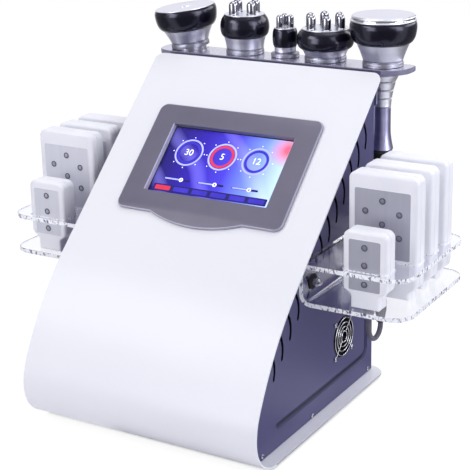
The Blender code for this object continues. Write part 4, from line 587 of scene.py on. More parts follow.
def front_sheet():
    """The bent sheet with its screen cut-out, rounded corners and finely broken edges."""
    pairs = list(zip(sheet_curve(0.0), sheet_curve(SHEET_GAUGE)))
    half = SHEET_WIDTH / 2

    def end(here, after, radius, steps=10):
        span = (after[0] - here[0]).length
        for step in range(steps + 1):
            angle = radians(90.0) * step / steps
            share = radius * (1 - cos(angle)) / span
            yield here[0].lerp(after[0], share), here[1].lerp(after[1], share), half - radius * (1 - sin(angle))

    stations = list(end(pairs[0], pairs[1], BASE_CORNER_RADIUS))
    stations += [(a, b, half) for a, b in pairs[1:-1]]
    stations += list(end(pairs[-1], pairs[-2], SHEET_CORNER_RADIUS))[::-1]
    bm = bmesh.new()
    bridged(bm, [[(-w, *a), (w, *a), (w, *b), (-w, *b)] for a, b, w in stations])
    made = add_object("front_sheet_skin", bm, WHITE_PAINT, "machine", ("front_sheet",), 20.0)
    shape = screen_shape(SKIRT_WALL + CLEAR, SKIRT_WALL, 4)
    cutter = slab("screen_cutter", shape, [], ((-0.01, 0.0), (0.01, 0.0)), slope_plane(SCREEN_MIDDLE), WHITE_PAINT,
                  None)
    boolean = made.modifiers.new("screen_opening", "BOOLEAN")
    boolean.object = cutter
    boolean.solver = "EXACT"
    depsgraph = bpy.context.evaluated_depsgraph_get()
    made.data = bpy.data.meshes.new_from_object(made.evaluated_get(depsgraph))
    made.modifiers.clear()
    bpy.data.objects.remove(cutter)
    made.data.set_sharp_from_angle(angle=radians(20.0))
    # The base plate's cut edge gets painted shade.
    two_tone(made, SHEET_EDGE_SHADE, lambda centre, normal: abs(normal.z) < 0.3 and centre.z < BASE_BOTTOM + SHEET_GAUGE
             and centre.y > FRONT + TOE_RADIUS)
    break_edges(made, 0.0006, 40.0)


# Display

def chin_outline():
    """The bezel's outline, with the shallow curve that drops below its lower edge."""
    points = rounded_rectangle(BEZEL_WIDTH, BEZEL_HEIGHT, BEZEL_CORNER_RADIUS, 10)
    steps = 48
    for step in range(steps + 1):
        share = 2 * step / steps - 1
        drop = max(BEZEL_CHIN_DEPTH * (1 - share * share), WELD)
        points.append(Vector((share * BEZEL_CHIN_WIDTH / 2, -BEZEL_HEIGHT / 2 - drop)))
    return points


def bezel():
    """The screen's frame, with a broken outer edge, a reveal and a skirt in the sheet's opening; the edge and the
    reveal's side walls carry painted highlights.
    """
    top = BEZEL_FROM_TOP + BEZEL_HEIGHT / 2
    centre = (0.0, top - SCREEN_MIDDLE)
    place = slope_plane(top)
    rise = BEZEL_THICKNESS - BEZEL_CHAMFER
    levels = [(CLEAR, 0.0), (rise * 0.5, 0.0), (rise, 0.0)]
    levels += [(rise + BEZEL_CHAMFER * sin(a), BEZEL_CHAMFER * (1 - cos(a))) for a in (0.5, 1.0, pi / 2)]
    bm = bmesh.new()
    outline = chin_outline()
    rim = raised(bm, outline, levels, place)
    levels = ((BEZEL_THICKNESS, -WELL_EDGE), (BEZEL_THICKNESS - WELL_EDGE, 0.0), (-SKIRT_DEPTH, 0.0))
    well = raised(bm, screen_shape(0.0, 0.001, 3, centre), levels, place)
    skirt = raised(bm, screen_shape(SKIRT_WALL, SKIRT_WALL, 3, centre), ((-SKIRT_DEPTH, 0.0), (CLEAR, 0.0)), place)
    for loops in ((rim[-1], well[0]), (rim[0], skirt[1]), (skirt[0], well[-1])):
        filled(bm, loops, place)
    # Painted highlight on the broken outer edge.
    for face in walled(bm, rim)[len(outline):]:
        face.material_index = 1
    # Painted highlight on the reveal's side walls.
    for face in walled(bm, well):
        along = face.verts[1].co - face.verts[0].co
        if abs(along.x) < abs(along.z):
            face.material_index = 2
    walled(bm, skirt)
    made = add_object("display_bezel_skin", bm, BEZEL_PLASTIC, "machine", ("display_bezel",), 25.0)
    made.data.materials.append(BEZEL_EDGE_HIGHLIGHT)
    made.data.materials.append(BEZEL_REVEAL_HIGHLIGHT)


def glow(name, colour_of, strength):
    """A lit picture element under glass; colour_of(nodes) gives its colour socket."""
    n = Nodes(bpy.data.materials.new(name))
    colour = colour_of(n)
    n.set(Base_Color=colour, Emission_Color=colour, Emission_Strength=strength, Roughness=0.12)
    return n.owner


def backdrop_colour(n):
    """Indigo to sky blue, with soft crossing beams and a rose glow in one corner."""
    position = n.coordinates()
    across = n.add("ShaderNodeSeparateXYZ", {"Vector": position}).outputs["X"]
    sky = n.colour_ramp(n.ramp(across, 0.0, 1.0, -SCREEN_WIDTH / 2, SCREEN_WIDTH / 2), (
        (0.0, (0.006, 0.002, 0.10)), (0.30, (0.020, 0.006, 0.34)), (0.55, (0.05, 0.035, 0.56)),
        (0.78, (0.16, 0.25, 0.76)), (1.0, (0.50, 0.68, 0.94))))
    wave = n.add("ShaderNodeTexWave", {"Vector": position, "Scale": 9.0, "Distortion": 3.0, "Detail": 1.0},
                 wave_type="BANDS", bands_direction="DIAGONAL").outputs["Fac"]
    beams = n.mixed(n.ramp(wave, 0.0, 0.22, 0.6, 1.0), sky, (0.35, 0.32, 1.0, 1.0), "ADD")
    corner = (SCREEN_WIDTH * 0.47, SCREEN_HEIGHT * 0.36, 0.0)
    distance = n.add("ShaderNodeVectorMath", {0: position, 1: corner}, operation="DISTANCE").outputs["Value"]
    return n.mixed(n.ramp(distance, 0.9, 0.0, 0.004, 0.024), beams, (0.75, 0.05, 0.10, 1.0))


def screen():
    """Dark panel, a lit picture and a generic menu of dials and plain numbers."""
    middle = slope_plane(SCREEN_MIDDLE)
    glass_top = -SKIRT_DEPTH - CLEAR
    lift = glass_top + CLEAR
    panel = Nodes(bpy.data.materials.new("panel_black"))
    panel.set(Base_Color=panel.tint(panel.noise(60.0), (0.002, 0.002, 0.006), (0.006, 0.005, 0.012)), Roughness=0.15)
    slab("touch_screen_panel", screen_shape(0.006, 0.0025, 4), [], ((glass_top - 0.004, 0.0), (glass_top, 0.0)),
         middle, panel.owner, "machine", ("touch_screen",))
    # Built at the origin, because the picture's texture is placed from there
    shown = slab("screen_picture", screen_shape(-PICTURE_MARGIN, 0.0003, 2), [], ((0.00005, 0.0), (0.00018, 0.0)),
                 Matrix.Identity(4), glow("screen_backdrop", backdrop_colour, 0.68), None)
    shown.matrix_world = middle @ Matrix.Translation((0.0, 0.0, glass_top))
    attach(shown, "machine")

    def tile_glow(name, dark, light, strength):
        return glow(name, lambda n: n.tint(n.noise(40.0, 2.0), dark, light), strength)

    blue = tile_glow("tile_blue", (0.025, 0.015, 0.36), (0.04, 0.025, 0.44), 0.7)
    rim = tile_glow("tile_rim", (0.28, 0.30, 0.95), (0.38, 0.40, 1.0), 0.9)
    red = tile_glow("tile_red", (0.50, 0.02, 0.05), (0.60, 0.03, 0.07), 0.75)
    pale = tile_glow("mark_pale", (0.75, 0.78, 1.0), (0.85, 0.88, 1.0), 0.95)
    dark = tile_glow("bar_dark", (0.006, 0.004, 0.09), (0.010, 0.006, 0.13), 0.8)

    def lit(name, u, v, finish, shape, holes=(), steps=0):
        """A thin lit shape, centred at shares of the screen's width and height."""
        place = middle @ Matrix.Translation((u * SCREEN_WIDTH, v * SCREEN_HEIGHT, 0.0))
        low = lift + TILE_STEP * steps
        slab(name, shape, holes, ((low, 0.0), (low + TILE_THICKNESS, 0.0)), place, finish, "machine")

    def tile(width, height, radius):
        return rounded_rectangle(width, height, radius, 5)

    lit("screen_bar", 0.0, BAR_LEVEL, dark, tile(0.148, 0.0092, 0.0012))
    for index in range(6):
        lit(f"screen_bar_key_{index + 1}", -0.385 + 0.154 * index, BAR_LEVEL, blue if index else red,
            tile(0.0200, 0.0058, 0.0014), steps=1)
    for index, (u, core, text) in enumerate(((-0.30, blue, "30"), (-0.02, red, "5"), (0.26, blue, "12"))):
        dial, v = f"dial_{index + 1}", DIAL_LEVEL
        lit(dial, u, v, rim, circle(0.0180), [circle(0.0160)])
        lit(dial + "_core", u, v, core, circle(0.0150), [circle(0.0118)])
        for tick in range(8):
            angle = radians(45.0 * tick)
            lit(f"{dial}_tick_{tick + 1}", u + TICK_RING * cos(angle) / SCREEN_WIDTH,
                v + TICK_RING * sin(angle) / SCREEN_HEIGHT, pale, tile(0.0013, 0.0013, 0.0005))
        number = bpy.data.curves.new(dial + "_number", "FONT")
        number.body = text
        number.size = 0.0115
        number.align_x = number.align_y = "CENTER"
        number.extrude = 0.00006
        number.materials.append(pale)
        place = middle @ Matrix.Translation((u * SCREEN_WIDTH, v * SCREEN_HEIGHT, lift + 0.0001))
        placed(dial + "_number", number, place, "machine")
    for index in range(3):
        slider, u, v = f"slider_{index + 1}", -0.30 + 0.28 * index, SLIDER_LEVEL
        lit(slider, u, v, dark, tile(0.0340, 0.0026, 0.0012))
        lit(slider + "_fill", u - 0.035, v, rim, tile(0.0210, 0.0018, 0.0008), steps=1)
        lit(slider + "_knob", u + 0.035, v, pale, circle(0.0026), [circle(0.0012)], 2)


# Handpieces

COLLAR_HEIGHT = 0.0045
COLLAR_GROOVE = 0.0008
HANDLE_DROP = 0.098
HANDLE_SHARES = ((0.0, 1.0), (0.065, 1.00), (0.107, 0.97), (0.179, 0.64), (0.281, 0.33), (0.383, 0.12),
                 (0.490, 0.00), (0.640, -0.01), (0.796, 0.01), (0.898, 0.14), (1.000, 0.36))
GRIP_GROOVES = (0.179, 0.281, 0.383, 0.490)
GRIP_DEPTH = 0.0007
GRIP_GROOVE_STEPS = ((0.0002, 0.0009), (-GRIP_DEPTH, 0.0003), (-GRIP_DEPTH, -0.0003), (-0.0001, -0.0009))
GLAND_HEIGHT = 0.012
GLAND_SHARE = 1.22
WIDE_BARREL = ((0.0, 0.80), (0.10, 0.885), (0.30, 0.955), (0.55, 0.99), (0.78, 1.0), (0.92, 0.985), (1.0, 0.955))
ROUND_BARREL = ((0.0, 0.86), (0.12, 0.95), (0.36, 1.0), (0.62, 0.99), (0.84, 0.93), (1.0, 0.83))
SLIM_BARREL = ((0.0, 0.89), (0.12, 0.96), (0.36, 1.0), (0.62, 1.0), (0.86, 0.96), (1.0, 0.88))
FACE_RIM = 0.0010
PORT_RADIUS = 0.0062
HORN_HEIGHT = 0.0062
HORN_RING_HEIGHT = 0.0022
HORN_RING_SHARE = 0.985
HORN_WAIST_SHARE = 0.945
HORN_DISC_SHARE = 0.955
VACUUM_LEAN = radians(7.0)
VACUUM_LEAN_HEADING = radians(211.0)

# Lengths in metres, turn in degrees; waist is a share of the collar's radius, flare and ring of the head's
Head = namedtuple("Head", "radius collar waist flare neck band spigot grip barrel count electrode height ring turn",
                  defaults=(0, 0.0, 0.0, 0.0, 0.0))
HEADS = {
    "vacuum": Head(0.0383, 0.0235, 0.975, 0.79, 0.0220, 0.0250, 0.0190, 0.0099, WIDE_BARREL),
    "quad": Head(0.0295, 0.0230, 0.975, 0.85, 0.0198, 0.0258, 0.0190, 0.0099, ROUND_BARREL,
                 4, 0.0054, 0.0165, 0.52, 61.5),
    "tri": Head(0.0149, 0.0168, 0.76, 0.89, 0.0118, 0.0209, 0.0125, 0.0085, SLIM_BARREL,
                3, 0.0038, 0.0160, 0.50, 121.0),
    "hexa": Head(0.0334, 0.0245, 0.975, 0.83, 0.0137, 0.0223, 0.0190, 0.0099, ROUND_BARREL,
                 6, 0.0052, 0.0170, 0.585, 0.5),
    "cavitation": Head(0.0383, 0.0235, 0.975, 0.79, 0.0255, 0.0250, 0.0190, 0.0099, WIDE_BARREL),
}


def handpiece_place(name, head):
    """The handpiece's own frame: origin in its seat, Z along its lift."""
    low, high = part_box(name + "_band")
    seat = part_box("handpiece_rack")[1].z + CLEAR
    middle = (low + high) / 2
    if name != "vacuum":
        return Matrix.Translation((middle.x, middle.y, seat))
    heading = (-sin(VACUUM_LEAN_HEADING), cos(VACUUM_LEAN_HEADING), 0.0)
    turn = Matrix.Rotation(VACUUM_LEAN, 4, heading)
    middle -= turn.to_3x3() @ Vector((0.0, 0.0, 1.0)) * (head.neck + CLEAR + head.band / 2)
    return Matrix.Translation((middle.x, middle.y, seat + head.collar * sin(VACUUM_LEAN))) @ turn


def handle_profile(head):
    """From the handle's foot up its grooved grip, its collar and its neck to the band."""
    reach = head.spigot - head.grip
    curve = smooth_curve([(head.grip + reach * out, -down * HANDLE_DROP) for down, out in HANDLE_SHARES[1:]], 5)
    points = [curve[-1]]
    for here, after in zip(curve, curve[1:]):
        points.append(here)
        for depth in [-down * HANDLE_DROP for down in GRIP_GROOVES]:
            if after.y < depth <= here.y:
                radius = here.lerp(after, (here.y - depth) / (here.y - after.y)).x
                points += [Vector((radius + out, depth + up)) for out, up in GRIP_GROOVE_STEPS]
    points.sort(key=lambda p: p.y)
    waist = head.collar * head.waist
    top = Vector((head.radius * head.flare, head.neck))
    neck = Vector((waist, COLLAR_HEIGHT + 2.4 * COLLAR_GROOVE))
    flare = smooth_curve([neck, neck.lerp(top, 0.5) - Vector((0.0004, 0.0)), top], 6)
    bead = softened([(head.spigot, 0.0), (head.collar, 0.0), (head.collar, COLLAR_HEIGHT),
                     (waist - COLLAR_GROOVE, COLLAR_HEIGHT + COLLAR_GROOVE),
                     (waist, COLLAR_HEIGHT + 2.2 * COLLAR_GROOVE)], 0.0007)
    return [Vector((0.0, points[0].y))] + points + bead + flare[1:] + [Vector((0.0, head.neck))]


def radius_at(head, share):
    """The handle's radius at a share of its drop."""
    for (above, wide), (below, narrow) in zip(HANDLE_SHARES, HANDLE_SHARES[1:]):
        if above <= share <= below:
            out = wide + (narrow - wide) * (share - above) / (below - above)
    return head.grip + (head.spigot - head.grip) * out


def electrode_profile(radius, height):
    straight = height - radius
    foot = radius * 1.16
    points = [(0.0, 0.0), (foot, 0.0), (foot, 0.0004), (radius * 1.04, 0.0009), (radius, 0.0011)]
    points += [(radius * cos(pi / 2 * i / 10), straight + radius * sin(pi / 2 * i / 10)) for i in range(10)]
    return points + [(0.0, height)]


def cavitation_face(head, low, rim, piece):
    """A chromed horn with a pale disc on top."""
    ring, waist, disc = [head.radius * share for share in (HORN_RING_SHARE, HORN_WAIST_SHARE, HORN_DISC_SHARE)]
    top = low + HORN_HEIGHT
    profile = softened([
        (0.0, low), (rim, low), (ring, low + HORN_RING_HEIGHT * 0.3), (ring, low + HORN_RING_HEIGHT * 0.8),
        (waist, low + HORN_RING_HEIGHT), (waist, top - FACE_RIM * 1.8), (disc, top - FACE_RIM * 1.2),
        (disc - FACE_RIM * 0.6, top - 0.0002), (0.0, top)], 0.0005)
    horn = piece("horn", profile, DISC_METAL, "chrome", "face")
    two_tone(horn, CHROME, lambda centre, normal: low + HORN_RING_HEIGHT * 0.9 < centre.z < top - FACE_RIM * 1.1)
    piece("disc", [(0.0, top - 0.0001), (disc * 0.965, top - 0.0001), (disc * 0.965, top + 0.0003),
                   (disc * 0.955, top + 0.0005), (0.0, top + 0.0006)], DISC_METAL, "chrome")


def gland_profile(head):
    """A ribbed cable gland, hollow from below."""
    radius, top = head.grip * GLAND_SHARE, -HANDLE_DROP - CLEAR
    foot, roof = top - GLAND_HEIGHT, top - GLAND_HEIGHT * 0.4
    profile = [(0.0, top), (radius, top)]
    for index in range(4):
        level, taper = top - GLAND_HEIGHT * (0.25 + 0.17 * index), 0.025 * index
        profile += [(radius * (1.0 - taper), level), (radius * (0.90 - taper), level - 0.0007),
                    (radius * (0.90 - taper), level - 0.0013)]
    profile += [(radius * 0.88, foot), (radius * 0.40, foot), (radius * 0.40, roof), (0.0, roof)]
    return profile[::-1]


def handpiece(name, head):
    """A head on its handle: turned metal, black band, contact face, grip rings and gland."""
    place = handpiece_place(name, head)

    def piece(word, profile, finish, slot, node="", segments=FINE_TURNS, spot=place):
        """A turned piece on this handpiece's body, which may stand for one of its nodes."""
        replaced = (f"{name}_{node}",) if node else ()
        return turned_piece(f"{name}_{word}", profile, finish, name + "_handpiece", spot, replaced, segments)

    handle = piece("handle_skin", handle_profile(head), TURNED_METAL, "brushed_aluminium", "handle")
    spigot, last = -HANDLE_SHARES[2][0] * HANDLE_DROP, -GRIP_GROOVES[-1] * HANDLE_DROP
    # The collar and the lower grip get painted shade, the grooved upper grip a painted highlight.
    for finish, low, high in ((COLLAR_SHADE_METAL, spigot, COLLAR_HEIGHT + 3 * COLLAR_GROOVE), (GRIP_HIGHLIGHT_METAL, last, spigot),
                              (SHADED_METAL, -HANDLE_DROP + 0.0001, last)):
        two_tone(handle, finish, lambda centre, normal: low < centre.z < high)
    low = head.neck + CLEAR
    barrel = smooth_curve([(head.radius * out, low + head.band * up) for up, out in head.barrel], 6)
    piece("band_skin", [(0.0, low)] + [tuple(p) for p in barrel] + [(0.0, low + head.band)], BAND_BLACK,
          "black_plastic", "band")
    low = head.neck + head.band + 2 * CLEAR
    rim = head.radius * head.barrel[-1][1]
    face = low + FACE_RIM
    if name == "cavitation":
        cavitation_face(head, low, rim, piece)
    else:
        profile = softened([(0.0, low), (rim, low), (rim, face), (0.0, face + 0.0001)], 0.0004)
        piece("plate", profile, DISC_METAL, "face_metal", "face")
    if name == "vacuum":
        piece("port", [(0.0, face), (PORT_RADIUS, face), (PORT_RADIUS, face + 0.0004), (0.0050, face + 0.0006),
                       (0.0042, face + 0.0002), (0.0, face + 0.0002)], CHROME, "chrome", segments=48)
    for index in range(head.count):
        turn = radians(head.turn) + tau * index / head.count
        out = head.radius * head.ring
        spot = place @ Matrix.Translation((out * cos(turn), out * sin(turn), low + FACE_RIM * 0.9))
        piece(f"electrode_{index + 1}", electrode_profile(head.electrode, head.height - FACE_RIM * 0.4),
              ELECTRODE_METAL, "chrome", "", 40, spot)
    for index, share in enumerate(GRIP_GROOVES):
        level, bottom = -share * HANDLE_DROP, radius_at(head, share) - GRIP_DEPTH
        inner, outer = bottom - 0.0003, bottom + 0.00025
        ring = [(inner, level - 0.0005), (outer, level - 0.0005), (outer, level + 0.0005), (inner, level + 0.0005)]
        piece(f"grip_ring_{index + 1}", ring, BLACK_RUBBER, "black_rubber", segments=64)
    piece("gland_skin", gland_profile(head), BLACK_RUBBER, "black_rubber", "gland", 48)


# Laser pads

PAD_DEPTH = 0.0230
PAD_EDGE = 0.0030
PAD_CORNER_RADIUS = 0.0080
PAD_SHOULDER_SOFTNESS = 0.0022
PAD_FRONT_SHARE = 0.47
PAD_OUTLET_FROM_SEAM = 0.0053
LENS_RADIUS = 0.0036

# Neck and label sizes are shares of the pad's own; lenses are placed from the label's middle
Pad = namedtuple("Pad", "width height neck neck_height shoulder label_width label_height label_top lenses")
PADS = {
    "small": Pad(0.0500, 0.0850, 0.64, 0.0150, 0.0060, 0.72, 0.655, 0.105,
                 [(0.0, 0.0199), (0.0, 0.0006), (0.0, -0.0203)]),
    "large": Pad(0.0790, 0.1350, 0.78, 0.0080, 0.0070, 0.81, 0.550, 0.123,
                 [(0.0, 0.0)] + [(0.0225 * cos(radians(90.0 + 60.0 * i)), 0.0255 * sin(radians(90.0 + 60.0 * i)))
                                 for i in range(6)]),
}


def pad_ring(pad, amount):
    """The pad's front outline, drawn in by an amount."""
    width, top = pad.width / 2 - amount, pad.height - amount
    neck = pad.width / 2 * pad.neck - amount
    r = PAD_CORNER_RADIUS - amount / 2
    right = [Vector((neck, amount)), Vector((neck, pad.neck_height - PAD_SHOULDER_SOFTNESS))]
    low, high = Vector((neck, pad.neck_height)), Vector((width, pad.neck_height + pad.shoulder))
    right += [low.lerp(high, 0.12), low.lerp(high, 0.86), high + Vector((0.0, PAD_SHOULDER_SOFTNESS))]
    right += arc((width - r, top - r), r, 0.0, pi / 2, 7)
    return right + [Vector((-p.x, p.y)) for p in right[::-1]]


def laser_pad(side, name, pad):
    """A pad of two shells, with its label, its lenses and a grommet below."""
    title = f"{side}_{name}"
    low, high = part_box(title + "_front")
    x, foot, front = (low.x + high.x) / 2, low.z, low.y
    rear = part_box(title + "_rear")[1].y
    seam = front + PAD_DEPTH * PAD_FRONT_SHARE
    below = plane((x, seam + PAD_OUTLET_FROM_SEAM, foot), (1, 0, 0), (0, 1, 0), (0, 0, -1))

    def shell(part, loops, outlet=()):
        """One half of the pad, through loops of (depth, inset)."""
        bm = bmesh.new()
        bridged(bm, [[(x + p.x, depth, foot + p.y) for p in pad_ring(pad, amount)] for depth, amount in loops])
        lathe(bm, outlet, 32, below)
        add_object(f"{title}_{part}_skin", bm, PAD_PLASTIC, title, (f"{title}_{part}",), 35.0)

    turns = [pi / 2 * i / 6 for i in range(7)]
    edge = [(PAD_EDGE * (1 - cos(a)), PAD_EDGE * (1 - sin(a))) for a in turns]
    shell("front", [(front, PAD_EDGE)] + [(front + depth, amount) for depth, amount in edge[1:]]
          + [(seam - 0.0011, 0.0), (seam - 0.0007, 0.0003), (seam - 0.0006, 0.0011), (seam - CLEAR, 0.0011)])
    shell("rear", [(seam, 0.0004), (seam + 0.0004, 0.0)] + [(rear - depth, amount) for depth, amount in edge[:0:-1]]
          + [(rear, PAD_EDGE)],
          [(0.0, -0.003), (0.005, -0.003), (0.005, 0.0), (0.0045, 0.0040), (0.0038, 0.0045), (0.0, 0.0045)])
    width, height = pad.width * pad.label_width, pad.height * pad.label_height
    middle = foot + pad.height * (1 - pad.label_top) - height / 2
    facing = plane((x, front, middle), (1, 0, 0), (0, 0, 1), (0, -1, 0))
    slab(title + "_label_rim", rounded_rectangle(width + 0.0012, height + 0.0012, 0.0026),
         [rounded_rectangle(width - 0.0004, height - 0.0004, 0.0018)], ((-0.0002, 0.0), (0.00035, 0.0002)),
         facing, PAD_PLASTIC, title)
    # The left side's labels and lenses are paler copies: painted light where the key lamp falls.
    foil, glass = (LABEL_FOIL, LENS_GLASS) if side == "right" else (LIT_LABEL_FOIL, LIT_LENS_GLASS)
    slab(title + "_label", rounded_rectangle(width, height, 0.002), [],
         ((-0.0003, 0.0), (0.00012, 0.0), (0.00020, 0.0001)), facing, foil, title)
    if title != "right_small_pad":
        # The lead's front socket takes this place under the right small pad
        profile = [(0.0, 0.0030), (0.0062, 0.0030), (0.0062, 0.0052), (0.0050, 0.0075), (0.0, 0.0075)]
        lathed(title + "_grommet", softened(profile, 0.0005), 36, below, BLACK_RUBBER, title)
    r = LENS_RADIUS
    ring = [(0.0, 0.0), (r, 0.0), (r, 0.0005), (r * 0.93, 0.0007), (r * 0.70, 0.0007), (r * 0.66, 0.0003),
            (0.0, 0.0003)]
    lens = [(0.0, 0.0003), (r * 0.66, 0.0003), (r * 0.58, 0.0006), (r * 0.3, 0.00085), (0.0, 0.0009)]
    for index, (u, v) in enumerate(pad.lenses):
        spot = facing @ Matrix.Translation((u, v, 0.0001))
        lathed(f"{title}_lens_ring_{index + 1}", ring, 36, spot, LENS_RING, title)
        lathed(f"{title}_lens_{index + 1}", lens, 36, spot, glass, title)


# Fan guard

GUARD_RADIUS = 0.0225
GUARD_SHARES = (0.30, 0.53, 0.76, 1.0)
GUARD_WIRE = 0.0005
GUARD_SIDES = 10
FAN_SCREW_OFFSET = 0.02075
GUARD_EYE = 0.0026
GUARD_HUB = 0.0058


def wire_ring(bm, place, radius, segments):
    rings = []
    for i in range(segments):
        around = tau * i / segments
        tube = [(radius + GUARD_WIRE * cos(tau * j / GUARD_SIDES), GUARD_WIRE * sin(tau * j / GUARD_SIDES))
                for j in range(GUARD_SIDES)]
        rings.append([bm.verts.new(place @ Vector((out * cos(around), out * sin(around), up))) for out, up in tube])
    walled(bm, rings + rings[:1])


def wire_rod(bm, place, start, end):
    along = (end - start).normalized()
    across = Vector((-along.y, along.x, 0.0))
    up = Vector((0.0, 0.0, 1.0))
    turns = [tau * j / GUARD_SIDES for j in range(GUARD_SIDES)]
    bridged(bm, [[place @ (point + across * GUARD_WIRE * cos(a) + up * GUARD_WIRE * sin(a)) for a in turns]
                 for point in (start, end)])


def fan_guard():
    """The welded wire guard over the fan, with its four screws."""
    low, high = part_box("fan_guard")
    centre = Vector((low.x, (low.y + high.y) / 2, (low.z + high.z) / 2))
    place = plane(centre, (0, 1, 0), (0, 0, 1), (1, 0, 0)) @ Matrix.Translation((0.0, 0.0, 0.0010))
    spots = [Vector((sx * FAN_SCREW_OFFSET, sy * FAN_SCREW_OFFSET, 0.0)) for sx, sy in CORNERS]
    bm = bmesh.new()
    for share in GUARD_SHARES:
        wire_ring(bm, place, GUARD_RADIUS * share, 72)
    for corner in spots:
        inner = corner.normalized() * GUARD_HUB
        outer = corner - corner.normalized() * GUARD_EYE
        wire_rod(bm, place, inner + Vector((0, 0, -GUARD_WIRE)), outer + Vector((0, 0, -GUARD_WIRE * 0.4)))
        wire_ring(bm, place @ Matrix.Translation(corner), GUARD_EYE, 28)
    add_object("fan_guard_skin", bm, CHROME, "machine", ("fan_guard",), 50.0)
    for index, corner in enumerate(spots):
        screw(f"fan_screw_{index + 1}", place @ Matrix.Translation(corner), STEEL, 0.4 + index)


# Trim

SHADE_SHEET_MARGIN = 0.007
RACK_LIP = 0.0061
BOLT_FROM_END = 0.022
BOLT_FROM_TOP = 0.021


def screw(name, place, finish, turn):
    """Pan-head screw; a thin black cross on its head is painted shade for its cross recess."""
    radius = SCREW_RADIUS
    rise = radius * 0.55
    profile = [(0.0, -rise), (radius * 0.6, -rise), (radius * 0.98, 0.0), (radius, rise * 0.3),
               (radius * 0.9, rise * 0.75), (radius * 0.6, rise), (0.0, rise * 1.05)]
    lathed(name, profile, 32, place, finish, "machine")
    arm, half = radius * 0.62, radius * 0.12
    rotation = place @ Matrix.Rotation(turn, 4, "Z")
    shape = [(arm, -half), (arm, half), (half, half), (half, arm), (-half, arm), (-half, half),
             (-arm, half), (-arm, -half), (-half, -half), (-half, -arm), (half, -arm), (half, -half)]
    # Painted shade: a flat black cross stands for the shade in the recess.
    bm = bmesh.new()
    bridged(bm, [[rotation @ Vector((u, v, level)) for u, v in shape] for level in (rise * 0.9, rise * 1.12)])
    add_object(name + "_cross_shade", bm, MATT_BLACK, "machine")


def beside(side, x, y, z):
    """A plane on the machine's right or left that faces away from it."""
    return plane((side * x, y, z), (0, side, 0), (0, 0, 1), (side, 0, 0))


def in_groove(centre, normal, lit=False):
    """Whether a face of a side cover lies in the shaded, or the lit, part of its pressed groove."""
    sunk = HALF_CASING - 0.0026 < abs(centre.x) < HALF_CASING - 0.0001 and abs(normal.x) > 0.2
    y, z = centre.y - (CASING_REAR - GROOVE_FROM_REAR), centre.z - (BASE_BOTTOM + GROOVE_HEIGHT)
    along = abs(z) < GROOVE_HALF and centre.y > FRONT + GROOVE_FROM_FRONT and y < GROOVE_HALF
    upright = abs(y) < GROOVE_HALF and -GROOVE_HALF < z < GROOVE_TOP
    corner = -GROOVE_CORNER < y < GROOVE_HALF and -GROOVE_HALF < z < GROOVE_CORNER
    return sunk and lit == (normal.z > 0.35 or normal.y < -0.35) and (along or upright or corner)


def side_cover(side, word):
    """A vented cover with its groove and its screws; painted shade darkens the groove, the louvre slots' walls and a
    black sheet behind the louvres.
    """
    cover = dressed(f"side_cover_{word}", CASING_PAINT, 0.0)
    # Faces that do not face sideways, the louvre slots' walls among them, get painted shade.
    two_tone(cover, VENT_SHADE, lambda centre, normal: abs(normal.x) < 0.2)
    # Painted shade in the pressed groove: deeper on its shaded faces, lighter on its lit lip.
    two_tone(cover, GROOVE_SHADE, in_groove)
    two_tone(cover, GROOVE_LIP_SHADE, lambda centre, normal: in_groove(centre, normal, True))
    # A black sheet of painted shade behind the louvres.
    rise = tan(SLOPE_ANGLE)
    foot = SLOPE_TOP.y - LOUVRE_DROP - 0.004 - rise * SLOPE_TOP.x
    first, last = FRONT + LOUVRE_FIRST - SHADE_SHEET_MARGIN, FRONT + LOUVRE_LAST + 0.009
    tall = LOUVRE_LENGTH + SHADE_SHEET_MARGIN
    shape = [Vector((first, foot + rise * first)), Vector((last, foot + rise * last)),
             Vector((last, foot + rise * last + tall)), Vector((first, foot + rise * first + tall))]
    place = plane((side * (HALF_CASING - CASING_WALL - 2 * CLEAR), 0.0, 0.0), (0, 1, 0), (0, 0, 1), (side, 0, 0))
    slab(f"louvre_shade_sheet_{word}", shape, [], ((-0.0008, 0.0), (0.0, 0.0)), place, VENT_SHADE,
         "machine")
    for index, (y, z) in enumerate(COVER_SCREWS):
        place = beside(side, HALF_CASING + 0.0004, FRONT + y, BASE_BOTTOM + z)
        screw(f"cover_screw_{word}_{index + 1}", place, CHROME, 0.5 * index)


def rack():
    """The handpiece rack: a painted highlight on its ends and the shelf's front lip, and a pale glossy top that is
    part real gloss, part painted light.
    """
    made = dressed("handpiece_rack", RACK_PAINT, 0.0)
    shelf_low = max(corner[2] for corner in made.bound_box) - RACK_LIP
    two_tone(made, RACK_EDGE_HIGHLIGHT, lambda centre, normal: abs(normal.x) > 0.4 and abs(normal.z) < 0.5
             or centre.z > shelf_low and normal.y < -0.3 and abs(normal.z) < 0.8)
    two_tone(made, RACK_TOP_GLOSS_AND_LIGHT, lambda centre, normal: normal.z > 0.8)


def clear_tray(word, level):
    """A clear tray whose cut edges carry a painted glow and painted reflections."""
    made = dressed(f"tray_{word}_{level}", ACRYLIC, 0.0004, 40.0)
    low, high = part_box(f"tray_{word}_{level}")
    wall = min(abs(low.x), abs(high.x)) + 0.014
    # Cut edges get the painted glow and the painted reflection flecks.
    two_tone(made, ACRYLIC_EDGE_GLOW, lambda centre, normal: abs(normal.y) > 0.3
             or abs(normal.z) < 0.3 and abs(centre.x) > wall)
    made.visible_shadow = False
    made.visible_diffuse = False


